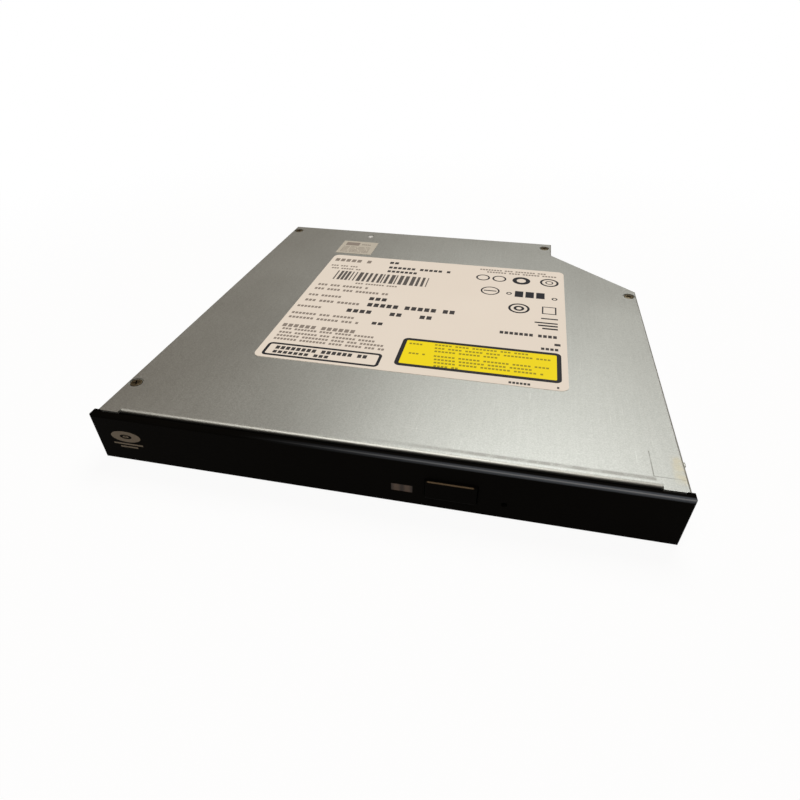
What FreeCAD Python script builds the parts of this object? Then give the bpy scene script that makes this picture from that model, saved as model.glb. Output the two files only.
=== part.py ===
"""Slimline tray-loading disc drive: folded case, sliding drawer, spindle, pickup and latch.

Frame: +X to the drive's right, +Y to its rear, +Z up, millimetres. The origin is on the
spindle's axis, at the underside of the case, and it is the bottom centre of the whole drive.
The pickup's mechanism lies at an angle: its pieces are drawn along their own X, which runs
outwards from the spindle, and are turned about the spindle's axis by sled_angle.
"""
import FreeCAD, Part
import os
import re
import Sketcher

os.makedirs("parts", exist_ok=True)
doc = FreeCAD.newDocument("SlimDrive")

SIZES = [
    # outside of the drive
    ("bezel_overhang", 0.3, "how far the bezel stands out beside the case"),
    ("bezel_low", 0.1, "bezel's lower edge above the case's underside"),
    ("bezel_top", 12.7, "bezel's upper edge"),
    ("bezel_wall", 1.7, "thickness of the bezel's face"),
    ("face_depth", 64.1, "spindle axis to the bezel's face"),
    ("case_width", 127.4, "width of the folded case"),
    ("case_rear", 64.9, "spindle axis to the rear wall"),
    ("mouth_gap", 1.7, "bezel's back to the case's front edge"),
    ("case_height", 12.4, "height over the top cover"),
    ("corner_cut", 26.0, "how far the cut rear corner reaches along both sides"),
    ("tab_depth", 10.8, "length of the rear tab beside the cut corner"),
    ("sheet", 0.6, "thickness of the steel sheet"),
    ("flange_height", 3.0, "height of the cover's flanges"),
    ("seam", 0.1, "gap between the cover's flange and the case's step"),
    ("fold", 0.55, "outer radius of the folds"),
    ("lip_fold", 0.9, "outer radius of the fold at the cover's front"),
    ("return_width", 1.4, "width of the bezel's end returns"),
    ("lip_depth", 1.0, "depth of the lip folded down at the cover's front"),
    ("ear_width", 5.2, "width of the cover's front ears"),
    ("ear_reach", 0.9, "how far the ears stand ahead of the lip"),
    # cover screws and side mounting holes
    ("screw_edge", 2.3, "cover screw's distance from the side"),
    ("screw_front", 10.7, "front cover screw behind the case's front edge"),
    ("screw_rear", 4.6, "rear cover screws ahead of the rear wall"),
    ("screw_tab_edge", 2.5, "rear right screw's distance from the tab's side"),
    ("screw_right", 24.4, "right cover screw behind the spindle"),
    ("screw_recess", 1.8, "radius of the recess for a screw's head"),
    ("screw_sink", 0.35, "depth of that recess"),
    ("screw_head", 1.45, "radius of a cover screw's head"),
    ("head_height", 0.3, "height of a cover screw's head"),
    ("screw_core", 0.8, "radius of the small screws' shanks"),
    ("screw_play", 0.02, "gap round a screw's shank"),
    ("tab_reach", 2.9, "length of the tabs that take the cover screws"),
    ("tab_half", 2.0, "half width of those tabs"),
    ("tab_thick", 0.8, "thickness of those tabs"),
    ("mount_height", 1.9, "height of the side mounting holes"),
    ("mount_core", 0.8, "radius of the side mounting holes, tapped M2"),
    ("mount_collar", 1.3, "radius of the collar drawn round each hole"),
    ("collar_depth", 0.5, "depth of that collar"),
    ("mount_front", -22.0, "front mounting hole"),
    ("mount_left_rear", 42.0, "rear mounting hole on the left"),
    ("mount_right_rear", 20.0, "rear mounting hole on the right"),
    ("bead_width", 4.0, "width of the stiffening beads in the floor"),
    ("bead_depth", 0.2, "depth of those beads"),
    ("bead_reach", 40.0, "half length of those beads"),
    ("dimple", 1.3, "radius of the stamped dimple in the cover"),
    ("label_thick", 0.1, "thickness of the labels"),
    ("label_left", 24.7, "main label's left edge inside the case's side"),
    ("label_right", 22.0, "main label's right edge inside the case's side"),
    ("label_front", 28.1, "main label behind the case's front edge"),
    ("label_rear", 26.3, "main label ahead of the rear wall"),
    ("label_corner", 2.0, "radius of the main label's corners"),
    ("tag_left", 23.9, "small label's left edge inside the case's side"),
    ("tag_width", 13.3, "width of the small label"),
    ("tag_rear", 12.0, "small label ahead of the rear wall"),
    ("tag_depth", 12.0, "depth of the small label"),
    # guides and rails
    ("guide_low", 3.0, "underside of the guides"),
    ("guide_high", 8.6, "top of the guides"),
    ("guide_depth", 2.3, "depth of the guides' channel"),
    ("channel_wall", 0.5, "wall of guides and rails"),
    ("slide_gap", 0.2, "running gap between guide, rail and runner"),
    ("rail_depth", 2.0, "depth of the rails' channel"),
    ("guide_front", 0.5, "front end of the guides behind the case's front edge"),
    ("guide_left_end", 4.9, "left guide's rear end ahead of the rear wall"),
    ("guide_right_end", 2.1, "right guide's rear end ahead of the cut corner"),
    ("rail_setback", 2.0, "rails end this far ahead of their guides"),
    # drawer
    ("tray_inset", 3.5, "drawer's side inside the case's outline"),
    ("floor_low", 6.6, "underside of the drawer's floor"),
    ("disc_floor", 7.8, "top of the drawer's floor under the disc"),
    ("rim_top", 10.4, "top of the drawer's rim"),
    ("disc_recess", 60.7, "radius of the recess for the large disc"),
    ("small_recess", 40.7, "radius of the recess for the small disc"),
    ("small_sink", 0.3, "extra depth of the small recess"),
    ("tray_wall", 2.2, "thickness of the drawer's side walls"),
    ("wall_low", 2.4, "lower edge of the drawer's walls"),
    ("front_wall", 1.5, "thickness of the drawer's front wall"),
    ("wing_low", 8.9, "underside of the rim's wings over the guides"),
    ("wing_gap", 0.3, "gap between a wing and the case"),
    ("core_roof", 1.0, "roof left over the hollow corners"),
    ("plate_low", 2.1, "underside of the drawer's bottom plate"),
    ("plate_thick", 0.3, "thickness of the drawer's bottom plate"),
    ("plate_right", 26.5, "right edge of the bottom plate"),
    ("plate_rear", 6.5, "bottom plate's rear edge ahead of the main board's"),
    ("boss", 1.9, "radius of the drawer's screw bosses"),
    # pickup mechanism
    ("sled_angle", 225.0, "direction of the pickup's travel"),
    ("cover_low", 7.1, "underside of the mechanism cover"),
    ("cover_thick", 0.4, "thickness of the mechanism cover"),
    ("cover_inner", 18.5, "mechanism cover behind the spindle"),
    ("cover_outer", 65.6, "mechanism cover's outer end"),
    ("cover_half", 15.0, "half width of the mechanism cover"),
    ("cover_play", 0.15, "gap round the mechanism cover"),
    ("ledge", 1.2, "width of the ledge that carries the mechanism cover"),
    ("window_half", 8.6, "half width of the lens window"),
    ("window_end", 2.4, "metal left beyond the lens window"),
    ("chassis_low", 5.2, "underside of the chassis"),
    ("chassis_thick", 0.8, "thickness of the chassis"),
    ("chassis_side", 19.6, "chassis edge beside the lead screw"),
    ("chassis_far_side", 20.5, "chassis edge beside the plain rod"),
    ("chassis_inner", 17.0, "chassis behind the spindle"),
    ("chassis_outer", 70.3, "chassis's outer end"),
    ("chassis_bevel", 9.5, "cut of the chassis's outer corners"),
    ("rod_radius", 0.8, "radius of the guide rods"),
    ("rod_height", 3.8, "height of the rods' axes"),
    ("rod_side", 17.0, "rods' distance from the middle line"),
    ("rod_inner", 12.2, "inner end of the rods"),
    ("rod_length", 49.4, "length of the rods"),
    ("rod_play", 0.03, "running gap of the pickup on its rods"),
    ("clamp_length", 3.2, "length of a rod clamp"),
    ("clamp_half", 2.1, "half width of a rod clamp"),
    ("lens_rest", 24.0, "innermost radius of the lens"),
    ("lens_travel", 33.5, "travel of the pickup"),
    ("pickup_low", 2.7, "underside of the pickup"),
    ("pickup_top", 6.2, "top of the pickup's body"),
    ("pickup_half", 14.0, "half width of the pickup's body"),
    ("nose_half", 9.0, "half width of the pickup's outer nose"),
    ("arm_top", 5.0, "top of the pickup's bearing arms"),
    ("lens_radius", 1.8, "radius of the objective lens"),
    ("holder_half", 5.4, "half length of the lens holder"),
    ("screw_side", 22.0, "lead screw's distance from the middle line"),
    ("screw_height", 4.2, "height of the lead screw's axis"),
    ("screw_radius", 0.9, "radius of the lead screw"),
    ("screw_inner", 9.0, "inner end of the lead screw"),
    ("screw_outer", 55.6, "outer end of the lead screw"),
    ("journal", 0.5, "radius of the lead screw's journals"),
    ("journal_play", 0.05, "running gap of those journals"),
    ("motor_radius", 2.05, "radius of the sled motor"),
    ("motor_length", 10.5, "length of the sled motor"),
    ("bracket_sheet", 0.5, "thickness of the sled bracket"),
    ("damper_radius", 3.0, "radius of the rubber dampers"),
    ("damper_neck", 2.0, "radius of the dampers' neck"),
    ("damper_lobe", 3.4, "radius of the chassis round a damper"),
    ("damper_low", 4.4, "underside of the dampers"),
    # spindle
    ("disc_seat", 8.6, "height of the disc's underside"),
    ("disc_thick", 1.2, "thickness of a disc"),
    ("hub_radius", 7.4, "radius of the hub in the disc's 15 mm hole"),
    ("table_radius", 12.8, "radius of the turntable"),
    ("table_top", 8.2, "top of the turntable"),
    ("hub_top", 10.9, "top of the hub"),
    ("ring_inner", 9.8, "inner radius of the friction ring"),
    ("rotor_radius", 12.0, "radius of the rotor"),
    ("rotor_wall", 1.1, "wall of the rotor"),
    ("rotor_top", 6.6, "top of the rotor"),
    ("magnet_wall", 1.0, "wall of the magnet ring"),
    ("air_gap", 0.3, "gap between stator and magnet"),
    ("shaft_radius", 1.0, "radius of the spindle's shaft"),
    ("bearing_play", 0.05, "running gap of the spindle's shaft"),
    ("sleeve_radius", 2.6, "radius of the bearing sleeve"),
    ("base_low", 2.7, "underside of the motor's base"),
    ("base_thick", 0.5, "thickness of the motor's base"),
    ("pole_count", 9, "poles of the stator"),
    ("claw_count", 3, "claws of the hub"),
    ("claw_half", 1.4, "half width of a claw"),
    ("claw_play", 0.1, "gap round a claw"),
    ("claw_inner", 4.65, "inner end of a claw"),
    ("claw_travel", 0.4, "how far a claw gives way"),
    ("claw_overhang", 0.45, "how far a claw stands out of the hub"),
    # eject button, lamp and pin hole in the bezel
    ("button_left", 12.75, "left edge of the button's opening"),
    ("button_right", 23.9, "right edge of that opening"),
    ("button_low", 3.3, "lower edge of that opening"),
    ("button_high", 8.4, "upper edge of that opening"),
    ("button_play", 0.2, "gap round the button"),
    ("button_proud", 0.8, "how far the button stands out"),
    ("button_travel", 0.5, "travel of the button"),
    ("button_lip", 0.95, "width of the button's retaining flange"),
    ("lamp_x", 7.9, "middle of the lamp's window"),
    ("lamp_z", 4.65, "height of the lamp's window"),
    ("lamp_width", 4.6, "width of the lamp's window"),
    ("lamp_height", 2.0, "height of the lamp's window"),
    ("pin_x", 29.35, "middle of the emergency pin hole"),
    ("pin_z", 4.2, "height of the emergency pin hole"),
    ("pin_radius", 0.65, "radius of the emergency pin hole"),
    # latch and eject pusher
    ("pivot_x", 39.5, "pivot of the lock lever"),
    ("pivot_y", -30.0, "pivot of the lock lever"),
    ("pivot_radius", 1.0, "radius of the lever's pivot pin"),
    ("pivot_play", 0.05, "running gap of the lever"),
    ("lever_low", 4.0, "underside of the lever"),
    ("lever_thick", 1.0, "thickness of the lever"),
    ("post_x", 43.5, "lock post"),
    ("post_y", -47.0, "lock post"),
    ("post_radius", 1.1, "radius of the lock post"),
    ("post_top", 5.2, "top of the lock post"),
    ("plunger_x", 32.0, "axis of the solenoid"),
    ("plunger_z", 4.5, "axis of the solenoid"),
    ("plunger_radius", 1.3, "radius of the plunger"),
    ("neck_radius", 0.45, "radius of the plunger's neck"),
    ("pusher_x", 31.0, "axis of the eject pusher"),
    ("pusher_z", 4.6, "axis of the eject pusher"),
    ("pusher_radius", 1.4, "radius of the eject pusher"),
    ("pusher_tail", 43.0, "tail of the eject pusher"),
    ("trough_front", 36.0, "front end of the pusher's trough"),
    ("spring_wire", 0.4, "thickness of the spring's wire"),
    ("spring_radius", 1.3, "outer radius of the eject spring, closed as a sleeve"),
    # boards, cable and connector
    ("board_thick", 0.8, "thickness of the circuit boards"),
    ("main_board_low", 2.9, "underside of the main board"),
    ("front_board_low", 3.3, "underside of the front board"),
    ("rear_board_low", 1.0, "underside of the rear board"),
    ("board_gap", 2.0, "gap between the main board and the rear board"),
    ("rear_board_depth", 13.5, "depth of the rear board"),
    ("cable_left", -30.0, "left edge of the flat cable"),
    ("cable_width", 18.0, "width of the flat cable"),
    ("cable_thick", 0.15, "thickness of the flat cable"),
    ("cable_upper", 1.85, "underside of the cable's upper run"),
    ("cable_bend", -18.0, "middle of the cable's bend"),
    ("connector_x", -30.0, "middle of the connector"),
    ("connector_width", 34.0, "width of the connector"),
    ("connector_high", 6.4, "top of the connector"),
    ("connector_front", 56.5, "front of the connector"),
]

sheet = doc.addObject("Spreadsheet::Sheet", "Sizes")
for row, (alias, value, meaning) in enumerate(SIZES, start=1):
    sheet.set(f"A{row}", meaning)
    sheet.set(f"B{row}", str(value))
    sheet.setAlias(f"B{row}", alias)
doc.recompute()

FUNCTIONS = ("tan", "sin", "cos", "deg")


def bound(text):
    """A formula in the sheet's words as an expression that reads the sheet."""
    return re.sub(r"[a-z]\w*", lambda m: m[0] if m[0] in FUNCTIONS else "Sizes." + m[0], text)


def number(text):
    """The present value of a formula."""
    return float(sheet.evalExpression(bound(text)))


def bind(item, name, text):
    """Ties a property of an object to a formula."""
    item.setExpression(name, bound(text))


def corners(*points):
    """A closed outline through the given corners."""
    return ("corners", points)


def rect(left, low, right, high):
    """A rectangle between two opposite corners."""
    return corners((left, low), (right, low), (right, high), (left, high))


def circle(across, up, radius):
    """A circle about a point of the sketch."""
    return ("circle", across, up, radius)


PLANES = {"Z": "XY_Plane", "Y": "XZ_Plane", "X": "YZ_Plane"}
pieces = []


class Piece:
    """One physical piece: a body whose features take their sizes from the sheet."""

    def __init__(self, label, turned=None, base=None):
        self.body = doc.addObject("PartDesign::Body", label)
        self.body.Label = label
        self.origin = {item.Role: item for item in self.body.Origin.OriginFeatures}
        if turned:
            self.body.Placement.Rotation = FreeCAD.Rotation(FreeCAD.Vector(0, 0, 1), number(turned))
            bind(self.body, "Placement.Rotation.Angle", f"({turned}) * 1 deg")
        for letter, place in zip("xyz", base or ()):
            bind(self.body, f"Placement.Base.{letter}", place)
        pieces.append(self.body)

    def tie(self, sketch, kind, where, text):
        """Adds a dimension to the sketch and ties it to its formula."""
        index = sketch.addConstraint(Sketcher.Constraint(kind, *where, number(text)))
        sketch.setExpression(f"Constraints[{index}]", bound(text))

    def sketch(self, axis, shapes, lift, turned=None):
        """A fully tied sketch across the given axis."""
        sketch = self.body.newObject("Sketcher::SketchObject", self.body.Label + "_sketch")
        sketch.AttachmentSupport = [(self.origin[PLANES[axis]], "")]
        sketch.MapMode = "FlatFace"
        if turned:
            sketch.AttachmentOffset.Rotation = FreeCAD.Rotation(
                FreeCAD.Vector(0, 0, 1), number(turned))
            bind(sketch, "AttachmentOffset.Rotation.Angle", f"({turned}) * 1 deg")
        bind(sketch, "AttachmentOffset.Base.z", lift)
        for shape in shapes:
            if shape[0] == "circle":
                self.draw_circle(sketch, *shape[1:])
            else:
                self.draw_corners(sketch, shape[1])
        return sketch

    def draw_circle(self, sketch, across, up, radius):
        """A circle tied by its centre and radius."""
        centre = FreeCAD.Vector(number(across), number(up), 0)
        index = sketch.addGeometry(Part.Circle(centre, FreeCAD.Vector(0, 0, 1), number(radius)))
        self.tie(sketch, "DistanceX", (-1, 1, index, 3), across)
        self.tie(sketch, "DistanceY", (-1, 1, index, 3), up)
        self.tie(sketch, "Radius", (index,), radius)

    def draw_corners(self, sketch, points):
        """A closed outline, each corner tied by its two distances."""
        places = [FreeCAD.Vector(number(across), number(up), 0) for across, up in points]
        count = len(places)
        lines = [Part.LineSegment(places[i], places[(i + 1) % count]) for i in range(count)]
        first = sketch.addGeometry(lines)[0]
        sketch.addConstraint([
            Sketcher.Constraint("Coincident", first + i, 2, first + (i + 1) % count, 1)
            for i in range(count)])
        for i, (across, up) in enumerate(points):
            self.tie(sketch, "DistanceX", (-1, 1, first + i, 1), across)
            self.tie(sketch, "DistanceY", (-1, 1, first + i, 1), up)

    def feature(self, kind, profile, length):
        """A feature of the given kind on a sketch."""
        item = self.body.newObject("PartDesign::" + kind, self.body.Label + "_" + kind.lower())
        item.Profile = profile
        bind(item, "Length", length)
        profile.Visibility = False
        return item

    def add(self, axis, shapes, low, high, turned=None):
        """Material between two places on an axis."""
        lift = f"-({high})" if axis == "Y" else low
        return self.feature("Pad", self.sketch(axis, shapes, lift, turned), f"({high}) - ({low})")

    def cut(self, axis, shapes, low, high, turned=None):
        """Removes material between two places on an axis."""
        lift = f"-({low})" if axis == "Y" else high
        return self.feature("Pocket", self.sketch(axis, shapes, lift, turned), f"({high}) - ({low})")

    def spin(self, *points):
        """A turned form about Z, from a profile of radius and height."""
        sketch = self.sketch("Y", [corners(*points)], "0")
        item = self.body.newObject("PartDesign::Revolution", self.body.Label + "_turned")
        item.Profile = sketch
        item.ReferenceAxis = (sketch, ["V_Axis"])
        item.Angle = 360
        return item

    def polar(self, feature, count):
        """Repeats a feature about the Z axis."""
        item = self.body.newObject("PartDesign::PolarPattern", self.body.Label + "_pattern")
        item.Originals = [feature]
        item.Axis = (self.origin["Z_Axis"], [""])
        item.Angle = 360
        bind(item, "Occurrences", count)
        self.body.Tip = item
        return item

    def dress(self, kind, size, chosen):
        """A fillet or chamfer on the edges that a test chooses."""
        doc.recompute()
        tip = self.body.Tip
        names = [f"Edge{i}" for i, edge in enumerate(tip.Shape.Edges, start=1) if chosen(edge)]
        item = self.body.newObject("PartDesign::" + kind, self.body.Label + "_" + kind.lower())
        item.Base = (tip, names)
        bind(item, "Radius" if kind == "Fillet" else "Size", size)
        return item


def upright(edge):
    """Whether an edge runs straight up."""
    box = edge.BoundBox
    return box.ZLength > 1e-6 and box.XLength < 1e-6 and box.YLength < 1e-6


def at_height(edge, height):
    """Whether an edge lies flat at a height."""
    return abs(edge.BoundBox.ZMin - height) < 1e-6 and abs(edge.BoundBox.ZMax - height) < 1e-6


def cylinder(centre, radius, low, high):
    """A plain upright cylinder for the small repeated pieces."""
    item = doc.addObject("Part::Cylinder", "cylinder")
    bind(item, "Radius", radius)
    bind(item, "Height", f"({high}) - ({low})")
    bind(item, "Placement.Base.x", centre[0])
    bind(item, "Placement.Base.y", centre[1])
    bind(item, "Placement.Base.z", low)
    return item


def fused(items):
    """Several primitives as one solid."""
    item = doc.addObject("Part::MultiFuse", "fused")
    item.Shapes = items
    return item


def drilled(item, centre, radius, low, high):
    """A solid with an upright hole."""
    result = doc.addObject("Part::Cut", "drilled")
    result.Base = item
    result.Tool = cylinder(centre, radius, low, high)
    return result


def group(label, items, turned=None):
    """Identical small pieces that share one node."""
    item = doc.addObject("Part::Compound", label)
    item.Label = label
    item.Links = items
    if turned:
        item.Placement.Rotation = FreeCAD.Rotation(FreeCAD.Vector(0, 0, 1), number(turned))
        bind(item, "Placement.Rotation.Angle", f"({turned}) * 1 deg")
    pieces.append(item)
    return item


# Places that several pieces share, as formulas of the sheet
SIDE = "(case_width / 2)"
TAB_X = "(case_width / 2 - corner_cut)"
CORNER_START = "(case_rear - tab_depth - corner_cut)"
WALL_INNER = "(case_width / 2 - sheet)"
STEP_INNER = "(case_width / 2 - 2 * sheet)"
MOUTH = "(bezel_wall + mouth_gap - face_depth)"
COVER_UNDER = "(case_height - sheet)"
FLANGE_LOW = "(case_height - flange_height)"
STEP_TOP = "(case_height - flange_height - seam)"
BEZEL_FACE = "(-face_depth)"
BEZEL_BACK = "(bezel_wall - face_depth)"
TRAY_SIDE = "(case_width / 2 - tray_inset)"
TRAY_WALL_INNER = "(case_width / 2 - tray_inset - tray_wall)"
RAIL_OUTER = f"({WALL_INNER} - channel_wall - slide_gap)"
RAIL_LOW = "(guide_low + channel_wall + slide_gap)"
RAIL_HIGH = "(guide_high - channel_wall - slide_gap)"
RUNNER_OUTER = f"({RAIL_OUTER} - channel_wall - slide_gap)"
RUNNER_LOW = f"({RAIL_LOW} + channel_wall + slide_gap)"
RUNNER_HIGH = f"({RAIL_HIGH} - channel_wall - slide_gap)"
CHASSIS_TOP = "(chassis_low + chassis_thick)"
SCREW_SEAT = "(case_height - screw_sink)"
BEZEL_SIDE = "(case_width / 2 + bezel_overhang)"
GUIDE_FRONT = f"({MOUTH} + guide_front)"
GUIDE_REAR = {"-": "(case_rear - guide_left_end)", "+": f"({CORNER_START} - guide_right_end)"}
REAR_BOARD_REAR = "(case_rear - sheet - 0.8)"
REAR_BOARD_FRONT = f"({REAR_BOARD_REAR} - rear_board_depth)"
CONNECTOR_LEFT = "(connector_x - connector_width / 2)"
CONNECTOR_RIGHT = "(connector_x + connector_width / 2)"
BOARD_LEFT = f"(1 - {TRAY_WALL_INNER})"
BOARD_REAR = f"({REAR_BOARD_FRONT} - board_gap)"
PLATE_REAR = f"({BOARD_REAR} - plate_rear)"

COVER_SCREWS = [
    (f"(screw_edge - {SIDE})", f"({MOUTH} + screw_front)"),
    (f"(screw_edge - {SIDE})", "(case_rear - screw_rear)"),
    (f"({TAB_X} - screw_tab_edge)", "(case_rear - screw_rear)"),
    (f"({SIDE} - screw_edge)", "screw_right"),
]
SIDE_HOLES = [
    ("-", ("mount_front", "mount_left_rear")),
    ("+", ("mount_front", "mount_right_rear")),
]
# Dampers, in the mechanism's own directions
DAMPERS = [("-13", "-17.5"), ("-13", "17"), ("48", "-28"), ("48", "24")]
REAR_BOARD_SCREWS = [(f"({BOARD_LEFT} + 5)", f"({REAR_BOARD_FRONT} + 2.5)"),
                     (f"({CONNECTOR_RIGHT} + 4)", f"({REAR_BOARD_FRONT} + 2.5)")]
GUIDE_FEET = {"-": (f"({GUIDE_FRONT} + 8.2)", "8", f"({GUIDE_REAR['-']} - 8)"),
              "+": (f"({GUIDE_FRONT} + 8.2)", "0", "12")}


def case_outline(inset, front=MOUTH):
    """The case's plan, moved inwards by a distance, with its cut rear corner."""
    side = f"({SIDE} - ({inset}))"
    tab = f"({TAB_X} - ({inset}))"
    rear = f"(case_rear - ({inset}))"
    lean = f"({inset}) * tan(22.5 deg)"
    return corners(
        (f"-{side}", front), (side, front), (side, f"{CORNER_START} - {lean}"),
        (tab, f"{CORNER_START} + corner_cut - {lean}"), (tab, rear), (f"-{side}", rear))


def case_walls(outer, inner):
    """The plan of a wall round the sides and rear, open at the front."""
    outside = case_outline(outer)[1]
    inside = case_outline(inner)[1]
    return corners(*outside[1:], outside[0], inside[0], *inside[:0:-1])


def outside_fold(height):
    """Chooses the edges along the case's sides and rear at a height, but not at its mouth."""
    mouth = number(MOUTH)

    def chosen(edge):
        middle = edge.BoundBox.Center
        if not at_height(edge, height) or edge.BoundBox.YMax < mouth + 1:
            return False
        side, rear = number(SIDE), number("case_rear")
        at_side = abs(abs(middle.x) - side) < 1e-3
        at_rear = abs(middle.y - rear) < 1e-3
        at_tab = abs(middle.x - number(TAB_X)) < 1e-3 and edge.BoundBox.XLength < 1e-3
        slant = abs(middle.x + middle.y - side - number(CORNER_START)) < 1e-3
        return at_side or at_rear or at_tab or slant

    return chosen


def make_top_cover():
    """The folded lid: flat top, flanges all round, a lip and two ears at the mouth."""
    piece = Piece("top_cover")
    piece.add("Z", [case_outline("0")], COVER_UNDER, "case_height")
    piece.add("Z", [rect(f"(ear_width - {SIDE})", MOUTH, f"({SIDE} - ear_width)",
                         f"({MOUTH} + sheet)")], "case_height - lip_depth", "case_height")
    piece.dress("Fillet", "lip_fold", lambda edge: at_height(edge, number("case_height"))
                and edge.BoundBox.YMax < number(MOUTH) + 1e-3)
    piece.add("Z", [case_walls("0", "sheet")], FLANGE_LOW, "case_height")
    for left, right in ((f"-{SIDE}", f"(ear_width - {SIDE})"), (f"({SIDE} - ear_width)", SIDE)):
        piece.add("Z", [rect(left, f"({MOUTH} - ear_reach)", right, f"({MOUTH} + lip_fold)")],
                  COVER_UNDER, "case_height")
    piece.cut("Z", [circle(x, y, "screw_recess") for x, y in COVER_SCREWS],
              SCREW_SEAT, "case_height")
    piece.cut("Z", [circle(x, y, "(screw_core + screw_play)") for x, y in COVER_SCREWS],
              COVER_UNDER, "case_height")
    piece.cut("Z", [circle(f"(screw_edge + 30 - {SIDE})", "(case_rear - screw_rear - 0.7)", "dimple")],
              "case_height - sheet / 2", "case_height")
    piece.dress("Fillet", "fold", outside_fold(number("case_height")))


def make_bottom_case():
    """The folded pan: floor, stepped walls, tabs for the cover screws, and a drawn collar
    round each side mounting hole."""
    piece = Piece("bottom_case")
    piece.add("Z", [case_outline("0")], "0", "sheet")
    piece.add("Z", [case_walls("0", "sheet")], "0", STEP_TOP)
    piece.add("Z", [case_walls("0", "2 * sheet")], f"{STEP_TOP} - sheet", STEP_TOP)
    piece.add("Z", [case_walls("sheet", "2 * sheet")], f"{STEP_TOP} - sheet", COVER_UNDER)
    tab_low = f"({COVER_UNDER} - tab_thick)"
    for x, y in COVER_SCREWS[:2]:
        piece.add("Z", [rect(f"-{STEP_INNER}", f"({y} - tab_half)",
                             f"(tab_reach - {STEP_INNER})", f"({y} + tab_half)")],
                  tab_low, COVER_UNDER)
    x, y = COVER_SCREWS[2]
    piece.add("Z", [rect(f"({x} - tab_half)", f"({y} - tab_half)", f"({x} + screw_core + 0.3)",
                         "(case_rear - 2 * sheet)")], tab_low, COVER_UNDER)
    x, y = COVER_SCREWS[3]
    piece.add("Z", [rect(f"({STEP_INNER} - tab_reach)", f"({y} - tab_half)",
                         STEP_INNER, f"({y} + tab_half)")], tab_low, COVER_UNDER)
    piece.cut("Z", [circle(x, y, "(screw_core + screw_play)") for x, y in COVER_SCREWS],
              tab_low, COVER_UNDER)
    for sign, places in SIDE_HOLES:
        ends = [f"({sign}({WALL_INNER} - collar_depth))", f"({sign}{SIDE})"]
        low, high = ends if sign == "+" else ends[::-1]
        piece.add("X", [circle(y, "mount_height", "mount_collar") for y in places], low, high)
        piece.cut("X", [circle(y, "mount_height", "mount_core") for y in places], low, high)
    piece.cut("Y", [rect(f"({CONNECTOR_LEFT} - 0.5)", "1.5", f"({CONNECTOR_RIGHT} + 0.5)",
                         "(connector_high + 0.3)")],
              "case_rear - sheet", "case_rear")
    for x in ("8", "20"):
        bead = [rect(x, "-bead_reach", f"({x} + bead_width)", "bead_reach")]
        piece.add("Z", bead, "sheet", "sheet + bead_depth")
        piece.cut("Z", bead, "0", "bead_depth")
    piece.add("Z", [circle(x, y, "boss") for x, y in REAR_BOARD_SCREWS], "0", "rear_board_low")
    holes = REAR_BOARD_SCREWS + guide_foot_places()
    piece.cut("Z", [circle(x, y, "(screw_core + screw_play)") for x, y in holes],
              "0", "rear_board_low")
    piece.cut("Z", [circle(x, y, "(screw_core + 0.5)") for x, y in holes], "0", "head_height + 0.1")
    piece.cut("Z", [circle("post_x", "post_y", "post_radius")], "0", "sheet")
    piece.dress("Fillet", "fold", outside_fold(0))


def guide_foot_places():
    """The screw places in the guides' feet."""
    return [(f"({sign}({WALL_INNER} - guide_depth / 2))", y)
            for sign, places in GUIDE_FEET.items() for y in places]


def channel(label, sign, outer, depth, low, high, front, rear):
    """A C-shaped channel along one side, open towards the drawer."""
    piece = Piece(label)
    inner = f"({sign}({outer} - ({depth})))"
    web = f"({sign}({outer} - channel_wall))"
    back = f"({sign}({outer}))"
    piece.add("Y", [corners(
        (back, low), (back, high), (inner, high), (inner, f"({high} - channel_wall)"),
        (web, f"({high} - channel_wall)"), (web, f"({low} + channel_wall)"),
        (inner, f"({low} + channel_wall)"), (inner, low))], front, rear)
    return piece


def make_guides_and_rails():
    """Fixed guides with feet on the floor, and the telescopic rails inside them."""
    for side, sign in (("left", "-"), ("right", "+")):
        rear = GUIDE_REAR[sign]
        guide = channel(f"{side}_guide", sign, WALL_INNER, "guide_depth", "guide_low",
                        "guide_high", GUIDE_FRONT, rear)
        ends = [f"({sign}({WALL_INNER} - guide_depth))", f"({sign}{WALL_INNER})"]
        left, right = ends if sign == "+" else ends[::-1]
        for y in GUIDE_FEET[sign]:
            guide.add("Z", [rect(left, f"({y} - 2.5)", right, f"({y} + 2.5)")],
                      "sheet", "guide_low + channel_wall")
        for x, y in guide_foot_places():
            if x.startswith(f"({sign}"):
                guide.cut("Z", [circle(x, y, "screw_core")], "sheet", "guide_low")
        places = dict(SIDE_HOLES)[sign]
        ends = [f"({sign}({WALL_INNER} - channel_wall))", f"({sign}{WALL_INNER})"]
        left, right = ends if sign == "+" else ends[::-1]
        guide.cut("X", [circle(y, "mount_height", "(mount_collar + 0.1)") for y in places],
                  left, right)
        channel(f"{side}_rail", sign, RAIL_OUTER, "rail_depth", RAIL_LOW, RAIL_HIGH,
                GUIDE_FRONT, f"({rear} - rail_setback)")


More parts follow.
